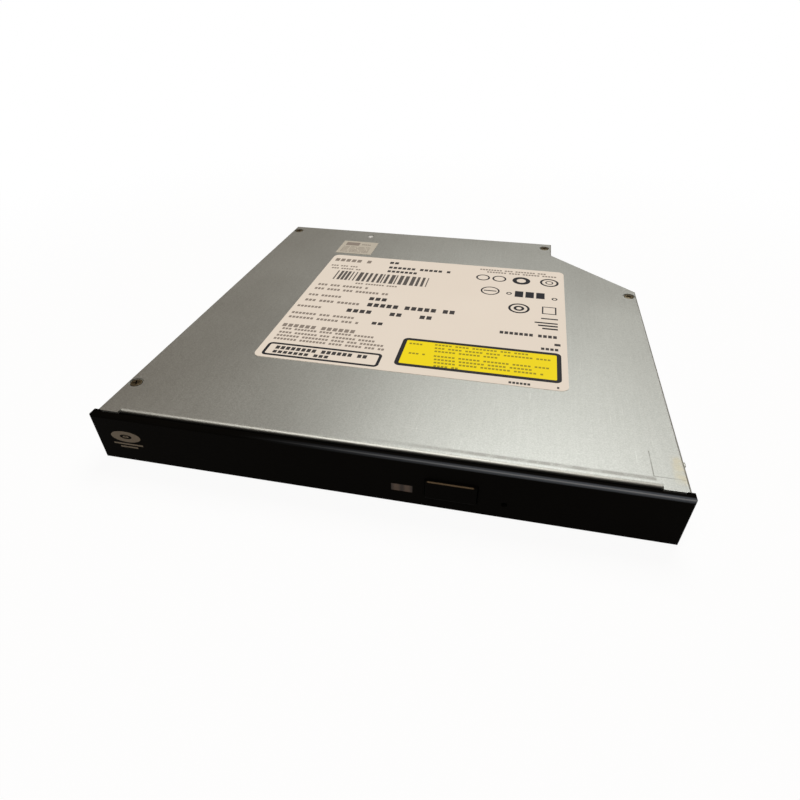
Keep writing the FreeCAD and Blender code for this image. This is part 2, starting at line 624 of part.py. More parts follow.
def make_small_case_parts():
    """Cover screws, floor screws, lock post and the two labels."""
    heads = []
    for x, y in COVER_SCREWS:
        heads.append(fused([
            cylinder((x, y), "screw_head", SCREW_SEAT, f"({SCREW_SEAT} + head_height)"),
            cylinder((x, y), "screw_core", f"({COVER_UNDER} - tab_thick - 0.2)", SCREW_SEAT)]))
    group("cover_screws", heads)
    floor_screws = []
    for x, y in REAR_BOARD_SCREWS + guide_foot_places():
        floor_screws.append(fused([
            cylinder((x, y), "(screw_core + 0.45)", "0.1", "head_height + 0.1"),
            cylinder((x, y), "screw_core", "head_height", "rear_board_low + board_thick")]))
    group("floor_screws", floor_screws)

    post = Piece("lock_post")
    post.add("Z", [circle("post_x", "post_y", "post_radius")], "0", "post_top")
    post.add("Z", [circle("post_x", "post_y", "(post_radius + 0.8)")], "sheet", "sheet + 0.4")

    label_top = "case_height + label_thick"
    main = Piece("main_label")
    main.add("Z", [rect(f"(label_left - {SIDE})", f"({MOUTH} + label_front)",
                        f"({SIDE} - label_right)", "(case_rear - label_rear)")],
             "case_height", label_top)
    main.dress("Fillet", "label_corner", upright)
    small = Piece("small_label")
    small.add("Z", [rect(f"(tag_left - {SIDE})", "(case_rear - tag_rear - tag_depth)",
                         f"(tag_left + tag_width - {SIDE})", "(case_rear - tag_rear)")],
              "case_height", label_top)


def make_tray():
    """The moulded drawer: disc recesses, rim with wings over the guides, runners, walls,
    screw bosses, and the opening with its ledge for the mechanism cover."""
    piece = Piece("tray")
    piece.add("Z", [case_outline("tray_inset", BEZEL_BACK)], "floor_low", "rim_top")
    wing = f"({STEP_INNER} - wing_gap)"
    wall_front = f"({BEZEL_BACK} + 0.1)"
    for sign, rear in GUIDE_REAR.items():
        for near, far, front, back, low, high in (
                (TRAY_SIDE, wing, f"({BEZEL_BACK} + 1.4)", f"({rear} - rail_setback)",
                 "wing_low", "rim_top"),
                (TRAY_WALL_INNER, TRAY_SIDE, wall_front, f"({rear} - rail_setback)",
                 "wall_low", "disc_floor"),
                (TRAY_SIDE, RUNNER_OUTER, GUIDE_FRONT, f"({rear} - rail_setback)",
                 RUNNER_LOW, RUNNER_HIGH)):
            ends = [f"({sign}{near})", f"({sign}{far})"]
            left, right = ends if sign == "+" else ends[::-1]
            piece.add("Z", [rect(left, front, right, back)], low, high)
    piece.add("Z", [rect(f"-{TRAY_SIDE}", BEZEL_BACK, TRAY_SIDE,
                         f"({BEZEL_BACK} + front_wall)")], "wall_low", "disc_floor")
    piece.cut("Z", [circle("0", "0", "disc_recess")], "disc_floor", "rim_top")
    piece.cut("Z", [circle("0", "0", "small_recess")], "disc_floor - small_sink", "disc_floor")
    for x, y in (("1", "-1"), ("-1", "1")):
        far_x, far_y = f"({x} * ({TRAY_SIDE} - 1.2))", f"({y} * 60.2)"
        piece.cut("Z", [corners((far_x, far_y), (f"({x} * 32)", far_y), (far_x, f"({y} * 32)"))],
                  "floor_low", "rim_top - core_roof")

    opening_inner = "(-cover_inner + ledge)"
    opening_half = "(cover_half - ledge)"
    piece.cut("Z", [rect(opening_inner, f"-{opening_half}", "(cover_outer - ledge)", opening_half)],
              "floor_low", "disc_floor", "sled_angle")
    seat = "(cover_half + cover_play)"
    piece.cut("Z", [rect("(-cover_inner - cover_play)", f"-{seat}",
                         "(cover_outer + cover_play)", seat)], "cover_low", "rim_top", "sled_angle")
    piece.cut("Z", [circle(u, v, "(screw_core - 0.05)") for u, v in DAMPERS],
              "floor_low", "cover_low", "sled_angle")

    for x, y, low in BOARD_BOSSES:
        top = "(rim_top - core_roof + 0.1)" if (x, y) == REAR_BOSS else "(floor_low + 0.1)"
        piece.add("Z", [circle(x, y, "boss")], low, top)
        piece.cut("Z", [circle(x, y, "screw_core")], low, "floor_low")
    for x, y in PLATE_POSTS:
        piece.add("Z", [circle(x, y, "boss")], "wall_low", "floor_low + 0.1")
    piece.cut("Z", [circle(x, y, "screw_core") for x, y in PLATE_SCREWS + PLATE_POSTS],
              "wall_low", "floor_low - 1")

    piece.add("Z", [circle("pivot_x", "pivot_y", "pivot_radius")],
              "lever_low - 0.4", "floor_low + 0.1")
    trough_half = "(pusher_radius + 0.2)"
    trough_rear = "(case_rear - tray_inset - 0.4)"
    piece.add("Z", [rect(f"(pusher_x - {trough_half} - 1)", "trough_front",
                         f"(pusher_x + {trough_half} + 1)", trough_rear)],
              "pusher_z - pusher_radius - 0.2", "floor_low + 0.1")
    piece.cut("Z", [rect(f"(pusher_x - {trough_half})", "(trough_front + 1)",
                         f"(pusher_x + {trough_half})", trough_rear)],
              "pusher_z - pusher_radius - 0.2", "pusher_z + pusher_radius + 0.2")

    piece.cut("Y", [rect("(lamp_x - lamp_width / 2 - 0.6)", "wall_low",
                         "(button_right + 1.5)", "(button_high + 0.8)")],
              BEZEL_BACK, f"{BEZEL_BACK} + front_wall")
    piece.cut("Y", [circle("pin_x", "pin_z", "(pin_radius + 0.25)")],
              BEZEL_BACK, f"{BEZEL_BACK} + front_wall")
    piece.cut("Y", [rect(f"({x} - 3.2)", "4.9", f"({x} + 3.2)", "6.3") for x in HOOKS],
              BEZEL_BACK, f"{BEZEL_BACK} + front_wall")


# The rear boss stands under the drawer's hollow rear corner, so it reaches that corner's roof.
REAR_BOSS = (f"({BOARD_LEFT} + 4)", f"({BOARD_REAR} - 4)")
BOARD_BOSSES = [
    (f"({BOARD_LEFT} + 4)", "4", "(main_board_low + board_thick)"),
    (*REAR_BOSS, "(main_board_low + board_thick)"),
    ("2", f"({BOARD_REAR} - 3.5)", "(main_board_low + board_thick)"),
    ("(lamp_x - 3.4)", f"({BEZEL_BACK} + 11.9)", "(front_board_low + board_thick)"),
    ("(button_right + 0.6)", f"({BEZEL_BACK} + 11.9)", "(front_board_low + board_thick)"),
]
PLATE_SCREWS = [(f"(0.8 - {TRAY_SIDE} + 0.4)", y) for y in ("-46", "-4", "37")]
PLATE_POSTS = [("24", "-44"), ("24", "20")]
HOOKS = (f"(15.2 - {TRAY_SIDE})", f"({TRAY_SIDE} - 15.2)")


def make_bezel():
    """The front bezel with its button opening, lamp window, pin hole, ledges and hooks."""
    piece = Piece("bezel")
    piece.add("Y", [rect(f"-{BEZEL_SIDE}", "bezel_low", BEZEL_SIDE, "bezel_top")],
              BEZEL_FACE, BEZEL_BACK)
    piece.dress("Fillet", "fold", lambda edge: edge.BoundBox.YMax < number(BEZEL_FACE) + 1e-6)
    ledge_high = "(case_height - lip_depth - 0.25)"
    ledge_side = f"({TRAY_SIDE} - 2.7)"
    piece.add("Y", [rect(f"-{ledge_side}", "(rim_top + 0.1)", ledge_side, ledge_high)],
              BEZEL_BACK, f"{BEZEL_BACK} + 3.2")
    piece.add("Y", [rect(f"-{ledge_side}", "(sheet + 0.3)", ledge_side, "(sheet + 1.0)")],
              BEZEL_BACK, f"{BEZEL_BACK} + 2.6")
    for left, right in ((f"-{BEZEL_SIDE}", f"(return_width - {BEZEL_SIDE})"),
                        (f"({BEZEL_SIDE} - return_width)", BEZEL_SIDE)):
        piece.add("Y", [rect(left, "bezel_low", right, "bezel_top")],
                  BEZEL_BACK, f"({MOUTH} - ear_reach - 0.15)")
    for x in HOOKS:
        piece.add("Y", [rect(f"({x} - 3)", "5.1", f"({x} + 3)", "6.0")],
                  BEZEL_BACK, f"{BEZEL_BACK} + 3")
        piece.add("Y", [rect(f"({x} - 3)", "5.1", f"({x} + 3)", "6.5")],
                  f"{BEZEL_BACK} + front_wall + 0.1", f"{BEZEL_BACK} + front_wall + 1")
    piece.cut("Y", [rect("button_left", "button_low", "button_right", "button_high"),
                    rect("(lamp_x - lamp_width / 2)", "(lamp_z - lamp_height / 2)",
                         "(lamp_x + lamp_width / 2)", "(lamp_z + lamp_height / 2)"),
                    circle("pin_x", "pin_z", "pin_radius")], BEZEL_FACE, BEZEL_BACK)


def make_front_controls():
    """Eject button, light guide, front board with its switch and lamp."""
    button = Piece("eject_button")
    button.add("Y", [rect("(button_left + button_play)", "(button_low + button_play)",
                          "(button_right - button_play)", "(button_high - button_play)")],
               f"{BEZEL_FACE} - button_proud", f"{BEZEL_BACK} + 0.65")
    button.dress("Fillet", "0.3",
                 lambda edge: edge.BoundBox.YMax < number(f"{BEZEL_FACE} - button_proud") + 1e-6)
    button.add("Y", [rect("(button_left + button_play - button_lip)", "(button_low - 0.5)",
                          "(button_right - button_play + button_lip)", "(button_high + 0.5)")],
               f"{BEZEL_BACK} + 0.05", f"{BEZEL_BACK} + 0.65")

    guide = Piece("light_guide")
    guide.add("Y", [rect("(lamp_x - lamp_width / 2)", "(lamp_z - lamp_height / 2)",
                         "(lamp_x + lamp_width / 2)", "(lamp_z + lamp_height / 2)")],
              f"{BEZEL_FACE} + 0.05", f"{BEZEL_BACK} + 1.8")

    board_top = "(front_board_low + board_thick)"
    board = Piece("front_board")
    board.add("Z", [rect("(lamp_x - 5.9)", f"({BEZEL_BACK} + 1.9)", "(button_right + 3.1)",
                         f"({BEZEL_BACK} + 14.4)")], "front_board_low", board_top)
    board.cut("Z", [circle(x, y, "screw_core") for x, y, low in BOARD_BOSSES[3:]],
              "front_board_low", board_top)
    middle = "((button_left + button_right) / 2)"
    switch = Piece("eject_switch")
    switch.add("Z", [rect(f"({middle} - 3)", f"({BEZEL_BACK} + 2)", f"({middle} + 3)",
                          f"({BEZEL_BACK} + 5.4)")],
               board_top, "floor_low - 0.2")
    switch.add("Y", [rect(f"({middle} - 1.2)", f"({board_top} + 0.7)", f"({middle} + 1.2)",
                          f"({board_top} + 2)")],
               f"{BEZEL_BACK} + 0.7 + button_travel", f"{BEZEL_BACK} + 2")
    lamp = Piece("status_lamp")
    lamp.add("Z", [rect("(lamp_x - 1.4)", f"({BEZEL_BACK} + 2)", "(lamp_x + 1.4)",
                        f"({BEZEL_BACK} + 3.5)")], board_top, f"{board_top} + 1.2")


def make_drawer_electronics():
    """Main board with its chips, cable sockets, flat cable, and the drawer's screws."""
    board_top = "(main_board_low + board_thick)"
    board = Piece("main_board")
    board.add("Z", [corners((BOARD_LEFT, "0"), ("-37.2", "0"), (f"({BOARD_REAR} - 37.2)", BOARD_REAR),
                            (BOARD_LEFT, BOARD_REAR))], "main_board_low", board_top)
    board.cut("Z", [circle(x, y, "screw_core") for x, y, low in BOARD_BOSSES[:3]],
              "main_board_low", board_top)
    chips = Piece("board_chips")
    for left, front, right, rear, height in (
            ("7", "20", "20", "33", "1.3"), ("24", "28", "33", "38", "1.2"),
            ("7", "8", "15", "15", "1.1"), ("37", "38", "43", "42", "1.5"),
            ("11", "38", "19", "42", "1.0")):
        chips.add("Z", [rect(f"({BOARD_LEFT} + {left})", front, f"({BOARD_LEFT} + {right})", rear)],
                  board_top, f"{board_top} + {height}")
    cable_right = "(cable_left + cable_width)"
    for label, front, rear, low, high in (
            ("drawer_socket", f"({PLATE_REAR} + 0.1)", f"({PLATE_REAR} + 5)",
             "(cable_upper - 0.15)", "main_board_low"),
            ("rear_socket", f"({REAR_BOARD_FRONT} - 2.4)", REAR_BOARD_FRONT, "sheet", "2")):
        socket = Piece(label)
        socket.add("Z", [rect("(cable_left - 1)", front, f"({cable_right} + 1)", rear)], low, high)
    cable = Piece("flat_cable")
    middle = "((sheet + cable_upper + cable_thick) / 2)"
    radius = "((cable_upper + cable_thick - sheet) / 2)"
    cable.add("X", [circle("cable_bend", middle, radius)], "cable_left", cable_right)
    cable.cut("X", [circle("cable_bend", middle, f"({radius} - cable_thick)")],
              "cable_left", cable_right)
    cable.cut("X", [rect("cable_bend", "0", "(cable_bend + 2)", "3")], "cable_left", cable_right)
    cable.add("X", [rect("cable_bend", "sheet", f"({REAR_BOARD_FRONT} - 2.4)",
                         "(sheet + cable_thick)")], "cable_left", cable_right)
    cable.add("X", [rect("cable_bend", "cable_upper", f"({PLATE_REAR} + 0.1)",
                         "(cable_upper + cable_thick)")], "cable_left", cable_right)

    screws = []
    shank = "(screw_core - screw_play)"
    for x, y, seat in BOARD_BOSSES:
        low = f"({seat} - board_thick)"
        screws.append(fused([cylinder((x, y), "1.3", f"{low} - 0.4", low),
                             cylinder((x, y), shank, low, f"{seat} + 1.6")]))
    group("board_screws", screws)
    screws = []
    for x, y in PLATE_SCREWS + PLATE_POSTS:
        screws.append(fused([cylinder((x, y), "1.35", "plate_low - 0.3", "plate_low"),
                             cylinder((x, y), shank, "plate_low", "plate_low + 2.2")]))
    group("plate_screws", screws)

    plate = Piece("bottom_plate")
    plate_top = "plate_low + plate_thick"
    plate.add("Z", [rect(f"(0.1 - {TRAY_SIDE})", f"({BEZEL_BACK} + 2.4)", "plate_right", PLATE_REAR)],
              "plate_low", plate_top)
    plate.cut("Z", [circle(x, y, "screw_core") for x, y in PLATE_SCREWS + PLATE_POSTS],
              "plate_low", plate_top)
    plate.cut("Z", [rect("-3", "(-screw_side - motor_radius - 0.4)", "(screw_inner + 0.4)",
                         "(motor_radius + 0.4 - screw_side)")], "plate_low", plate_top, "sled_angle")


def make_rear_connection():
    """Rear board on its standoffs, and the connector with its two tongues."""
    board_top = "(rear_board_low + board_thick)"
    board = Piece("rear_board")
    board.add("Z", [rect(BOARD_LEFT, REAR_BOARD_FRONT, f"({CONNECTOR_RIGHT} + 7)", REAR_BOARD_REAR)],
              "rear_board_low", board_top)
    board.cut("Z", [circle(x, y, "screw_core") for x, y in REAR_BOARD_SCREWS],
              "rear_board_low", board_top)
    left, right = CONNECTOR_LEFT, CONNECTOR_RIGHT
    connector = Piece("connector")
    connector.add("Z", [rect(left, "connector_front", right, "case_rear")], board_top,
                  "connector_high")
    connector.cut("Y", [rect(f"({left} + 1)", f"({board_top} + 0.7)", f"({right} - 1)",
                             "(connector_high - 0.7)")], "connector_front + 2", "case_rear")
    for start, end in (("2", "12"), ("14", "31")):
        connector.add("Y", [rect(f"({left} + {start})", f"({board_top} + 1.7)",
                                 f"({left} + {end})", f"({board_top} + 2.9)")],
                      "connector_front + 1.9", "case_rear - 0.8")


def make_chassis():
    """The pressed chassis on rubber dampers, with rods, clamps and the sled drive."""
    turned = "sled_angle"
    chassis = Piece("chassis", turned)
    far = "(chassis_outer - chassis_bevel)"
    outline = [corners(
        ("-chassis_inner", "-chassis_side"), (far, "-chassis_side"),
        ("chassis_outer", "(chassis_bevel - chassis_side)"),
        ("chassis_outer", "(chassis_far_side - chassis_bevel)"), (far, "chassis_far_side"),
        ("-chassis_inner", "chassis_far_side"))]
    chassis.add("Z", outline, "chassis_low", CHASSIS_TOP)
    for u, v in DAMPERS:
        chassis.add("Z", [circle(u, v, "damper_lobe")], "chassis_low", CHASSIS_TOP)
    chassis.add("Z", [rect("45", "-28", "51", "-chassis_side + 1")], "chassis_low", CHASSIS_TOP)
    chassis.add("Z", [rect("45", "chassis_far_side - 1", "51", "24")], "chassis_low", CHASSIS_TOP)
    chassis.add("Z", [rect("-8", "(chassis_far_side - sheet)", "44", "chassis_far_side")],
                "base_low + 0.3", CHASSIS_TOP)
    chassis.cut("Z", [circle("0", "0", "(rotor_radius + 1.4)")], "chassis_low", CHASSIS_TOP)
    chassis.cut("Z", [rect("5", "(-pickup_half - 0.5)",
                           "(lens_rest + lens_travel + 4.1)", "(pickup_half + 0.5)")],
                "chassis_low", CHASSIS_TOP)
    chassis.cut("Z", [rect("50", "(-nose_half - 0.8)", "(lens_rest + lens_travel + 9.8)",
                           "(nose_half + 0.8)")], "chassis_low", CHASSIS_TOP)
    chassis.cut("Z", [circle(u, v, "(damper_neck + 0.05)") for u, v in DAMPERS],
                "chassis_low", CHASSIS_TOP)

    dampers, screws = [], []
    for u, v in DAMPERS:
        body = fused([cylinder((u, v), "damper_radius", "damper_low", "chassis_low"),
                      cylinder((u, v), "damper_neck", "chassis_low", CHASSIS_TOP),
                      cylinder((u, v), "damper_radius", CHASSIS_TOP, "floor_low")])
        dampers.append(drilled(body, (u, v), "screw_core", "damper_low", "floor_low"))
        screws.append(fused([cylinder((u, v), "1.8", "damper_low - 0.5", "damper_low"),
                             cylinder((u, v), "(screw_core - 0.05)", "damper_low", "cover_low")]))
    group("dampers", dampers, turned)
    group("damper_screws", screws, turned)

    rod_outer = "(rod_inner + rod_length)"
    clamps = Piece("rod_clamps", turned)
    for side in ("(-rod_side)", "rod_side"):
        for start, end in (("(rod_inner - 0.4)", "(rod_inner - 0.4 + clamp_length)"),
                           (f"({rod_outer} + 0.4 - clamp_length)", f"({rod_outer} + 0.4)")):
            clamps.add("Z", [rect(start, f"({side} - clamp_half)", end, f"({side} + clamp_half)")],
                       "rod_height - rod_radius - 0.4", "chassis_low")
    clamps.cut("X", [circle("(-rod_side)", "rod_height", "(rod_radius + screw_play)"),
                     circle("rod_side", "rod_height", "(rod_radius + screw_play)")],
               "rod_inner", rod_outer)
    for label, side in (("main_rod", "(-rod_side)"), ("plain_rod", "rod_side")):
        rod = Piece(label, turned)
        rod.add("X", [circle(side, "rod_height", "rod_radius")], "rod_inner", rod_outer)

    bracket = Piece("sled_bracket", turned)
    spine = "(-screw_side - 2.9)"
    lug_end = "(screw_outer + bracket_sheet)"
    bracket.add("Z", [rect("(screw_inner - bracket_sheet)", spine, lug_end,
                           f"({spine} + bracket_sheet)")], "3.2", "chassis_low - 0.05")
    lugs = [rect("(screw_inner - bracket_sheet)", spine, "screw_inner", "(-chassis_side)"),
            rect("screw_outer", spine, lug_end, "(-chassis_side)")]
    bracket.add("Z", lugs, "base_low", f"{CHASSIS_TOP} - 0.1")
    bracket.cut("X", [circle("(-screw_side)", "screw_height", "(journal + journal_play)")],
                "screw_inner - bracket_sheet", lug_end)
    motor = Piece("sled_motor", turned)
    motor.add("X", [circle("(-screw_side)", "screw_height", "motor_radius")],
              "screw_inner - bracket_sheet - motor_length", "screw_inner - bracket_sheet")
    screw = Piece("lead_screw", turned)
    screw.add("X", [circle("(-screw_side)", "screw_height", "screw_radius")],
              "screw_inner + 0.1", "screw_outer - 0.1")
    screw.add("X", [circle("(-screw_side)", "screw_height", "journal")],
              "screw_inner - bracket_sheet + 0.05", lug_end)

    cover = Piece("mechanism_cover", turned)
    top = "(cover_low + cover_thick)"
    cover.add("Z", [rect("(-cover_inner)", "(-cover_half)", "cover_outer", "cover_half")],
              "cover_low", top)
    cover.dress("Fillet", "2.5", upright)
    cover.cut("Z", [circle("0", "0", "(table_radius + 0.8)")], "cover_low", top)
    cover.cut("Z", [rect("8", "(-window_half)", "(cover_outer - window_end)", "window_half")],
              "cover_low", top)


def make_spindle():
    """Motor base with bearing sleeve, wound stator, rotor, and the hub with its claws."""
    turned = "sled_angle"
    base_top = "(base_low + base_thick)"
    base = Piece("motor_base", turned)
    base.add("Z", [corners(("-15", "-11.5"), ("-9", "-17.6"), ("7.5", "-17.6"), ("7.5", "17.6"),
                           ("-9", "17.6"), ("-15", "11.5"))], "base_low", base_top)
    base.add("Z", [circle("-12.5", "-9", "1.5"), circle("-12.5", "9", "1.5"),
                   circle("5", "-15.9", "1.4"), circle("5", "15.9", "1.4")],
             "base_low", "chassis_low")
    base.add("Z", [circle("0", "0", "sleeve_radius")], "base_low", "rotor_top - 0.6")
    base.cut("Z", [circle("0", "0", "(shaft_radius + bearing_play)")],
             "base_low + 0.3", "rotor_top - 0.6")
    stator_radius = "(rotor_radius - rotor_wall - magnet_wall - air_gap)"
    stator = Piece("stator", turned)
    stator.spin(("sleeve_radius", "4"), (stator_radius, "4"), (stator_radius, "5.4"),
                ("sleeve_radius", "5.4"))
    slot = stator.cut("Z", [rect("(sleeve_radius + 2.6)", "-0.75", "(sleeve_radius + 6)", "0.75")],
                      "4", "5.4")
    stator.polar(slot, "pole_count")
    mouth = stator.cut("Z", [rect("(sleeve_radius + 5.9)", "-0.3", f"({stator_radius} + 1)", "0.3")],
                       "4", "5.4")
    stator.polar(mouth, "pole_count")

    cup_inner = "(rotor_radius - rotor_wall)"
    rotor = Piece("rotor")
    rotor.spin(("shaft_radius", "(rotor_top - 0.5)"), (cup_inner, "(rotor_top - 0.5)"),
               (cup_inner, "3.6"), ("rotor_radius", "3.6"), ("rotor_radius", "rotor_top"),
               ("shaft_radius", "rotor_top"))
    magnet = Piece("rotor_magnet")
    magnet.spin((f"({cup_inner} - magnet_wall)", "3.7"), (cup_inner, "3.7"),
                (cup_inner, "(rotor_top - 0.6)"), (f"({cup_inner} - magnet_wall)",
                                                   "(rotor_top - 0.6)"))
    shaft = Piece("spindle_shaft")
    shaft.add("Z", [circle("0", "0", "shaft_radius")], "base_low + 0.4", "table_top - 0.2")
    table = Piece("turntable")
    table.spin(("shaft_radius", "rotor_top"), ("table_radius", "rotor_top"),
               ("table_radius", "table_top"), ("hub_radius", "table_top"),
               ("hub_radius", "(hub_top - 0.6)"), ("(hub_radius - 0.8)", "hub_top"),
               ("3", "hub_top"), ("2.4", "(hub_top - 0.6)"), ("0", "(hub_top - 0.6)"),
               ("0", "(table_top - 0.2)"), ("shaft_radius", "(table_top - 0.2)"))
    claw_low = "(disc_seat + 0.4)"
    claw_high = "(hub_top - 0.3)"
    slot = table.cut("Z", [rect("(claw_inner - claw_travel - 0.05)", "(-claw_half - claw_play)",
                                "(hub_radius + 0.1)", "(claw_half + claw_play)")],
                     f"{claw_low} - claw_play", f"{claw_high} + claw_play")
    table.polar(slot, "claw_count")
    ring = Piece("friction_ring")
    ring.add("Z", [circle("0", "0", "(table_radius - 0.4)"), circle("0", "0", "ring_inner")],
             "table_top", "disc_seat")
    clamp = "(disc_seat + disc_thick)"
    tip = "(hub_radius + claw_overhang)"
    for index in range(int(number("claw_count"))):
        claw = Piece(f"claw_{index + 1}", f"{index} * 360 / claw_count")
        claw.add("Y", [corners(
            ("claw_inner", claw_low), ("(hub_radius - 0.05)", claw_low),
            ("(hub_radius - 0.05)", f"({clamp} - 0.05)"), (tip, f"({clamp} + 0.3)"),
            (tip, f"({clamp} + 0.45)"), ("(hub_radius - 0.05)", claw_high),
            ("claw_inner", claw_high))], "-claw_half", "claw_half")


def make_pickup():
    """Die-cast pickup on its rods, with yoke, magnets, lens holder, lens and cap."""
    turned = "sled_angle"
    body = Piece("pickup_body", turned)
    body.add("Z", [corners(
        ("(lens_rest - 7)", "(-pickup_half)"), ("(lens_rest + 3)", "(-pickup_half)"),
        ("(lens_rest + 3)", "(-nose_half)"), ("(lens_rest + 9)", "(-nose_half)"),
        ("(lens_rest + 9)", "nose_half"), ("(lens_rest + 3)", "nose_half"),
        ("(lens_rest + 3)", "pickup_half"), ("(lens_rest - 7)", "pickup_half"))],
             "pickup_low", "pickup_top")
    side = number("pickup_half")
    body.dress("Fillet", "1", lambda edge: upright(edge) and abs(edge.BoundBox.YMax) > side - 1e-3)
    body.cut("Z", [rect("(lens_rest - 4.95)", "-7.7", "(lens_rest + 4.95)", "7.7")],
             "pickup_low + 0.8", "pickup_top")
    body.add("Z", [rect("(lens_rest - 5.5)", "(-rod_side - 1.6)", "(lens_rest + 0.8)",
                        "(1 - pickup_half)")], "pickup_low", "arm_top")
    body.add("Z", [rect("(lens_rest - 3)", "(pickup_half - 1)", "(lens_rest + 0.8)",
                        "(rod_side + 1.4)")], "pickup_low", "arm_top")
    body.cut("X", [circle("(-rod_side)", "rod_height", "(rod_radius + rod_play)")],
             "lens_rest - 5.5", "lens_rest + 0.8")
    body.cut("X", [rect("(rod_side - 1.1)", "(rod_height - rod_radius - rod_play)",
                        "(rod_side + 2)", "(rod_height + rod_radius + rod_play)")],
             "lens_rest - 3", "lens_rest + 0.8")
    follower = Piece("screw_follower", turned)
    follower.add("Z", [rect("(lens_rest - 6.5)", "(screw_radius + 0.1 - screw_side)",
                            "(lens_rest - 3)", "(-rod_side - 1.6)")],
                 "screw_height - 1.1", "arm_top")
    floor = "(pickup_low + 0.8)"
    yoke = Piece("actuator_yoke", turned)
    yoke.add("Z", [rect("(lens_rest - 4.8)", "-7.4", "(lens_rest + 4.8)", "7.4")],
             floor, f"{floor} + 0.5")
    yoke.add("Z", [rect("(lens_rest - 4.8)", "-4", "(lens_rest - 4.2)", "4"),
                   rect("(lens_rest + 4.2)", "-4", "(lens_rest + 4.8)", "4")],
             floor, "pickup_top + 0.2")
    magnets = Piece("actuator_magnets", turned)
    for start, end in (("- 4.2", "- 3.2"), ("+ 3.2", "+ 4.2")):
        magnets.add("Z", [rect(f"(lens_rest {start})", "-3.5", f"(lens_rest {end})", "3.5")],
                    f"{floor} + 0.5", "pickup_top + 0.1")
    holder = Piece("lens_holder", turned)
    holder.add("Z", [rect("(lens_rest - 2.8)", "-holder_half", "(lens_rest + 2.8)", "holder_half")],
               f"{floor} + 0.9", "cover_low + 0.1")
    holder.cut("Z", [circle("lens_rest", "0", "lens_radius")], f"{floor} + 0.9", "cover_low + 0.1")
    end = number("holder_half")
    holder.dress("Fillet", "0.5", lambda edge: upright(edge) and abs(edge.BoundBox.YMax) > end - 1e-3)
    lens = Piece("objective_lens", None, ("lens_rest * cos(sled_angle * 1 deg)",
                                          "lens_rest * sin(sled_angle * 1 deg)", "0"))
    lens.spin(("0", "(cover_low - 0.5)"), ("lens_radius", "(cover_low - 0.5)"),
              ("lens_radius", "(cover_low + 0.3)"), ("(lens_radius - 0.5)", "(cover_low + 0.4)"),
              ("(lens_radius - 1.1)", "(cover_low + 0.7)"), ("0", "(cover_low + 0.8)"))
    cap = Piece("actuator_cap", turned)
    cap_top = "(cover_low + cover_thick)"
    cap.add("Z", [rect("(lens_rest - 5.3)", "-8.1", "(lens_rest + 5.3)", "8.1")],
            "pickup_top", cap_top)
    cap.cut("Z", [rect("(lens_rest - 5.05)", "-7.85", "(lens_rest + 5.05)", "7.85")],
            "pickup_top", f"{cap_top} - 0.25")
    cap.cut("Z", [rect("(lens_rest - 3.3)", "-5.9", "(lens_rest + 3.3)", "5.9")],
            f"{cap_top} - 0.25", cap_top)


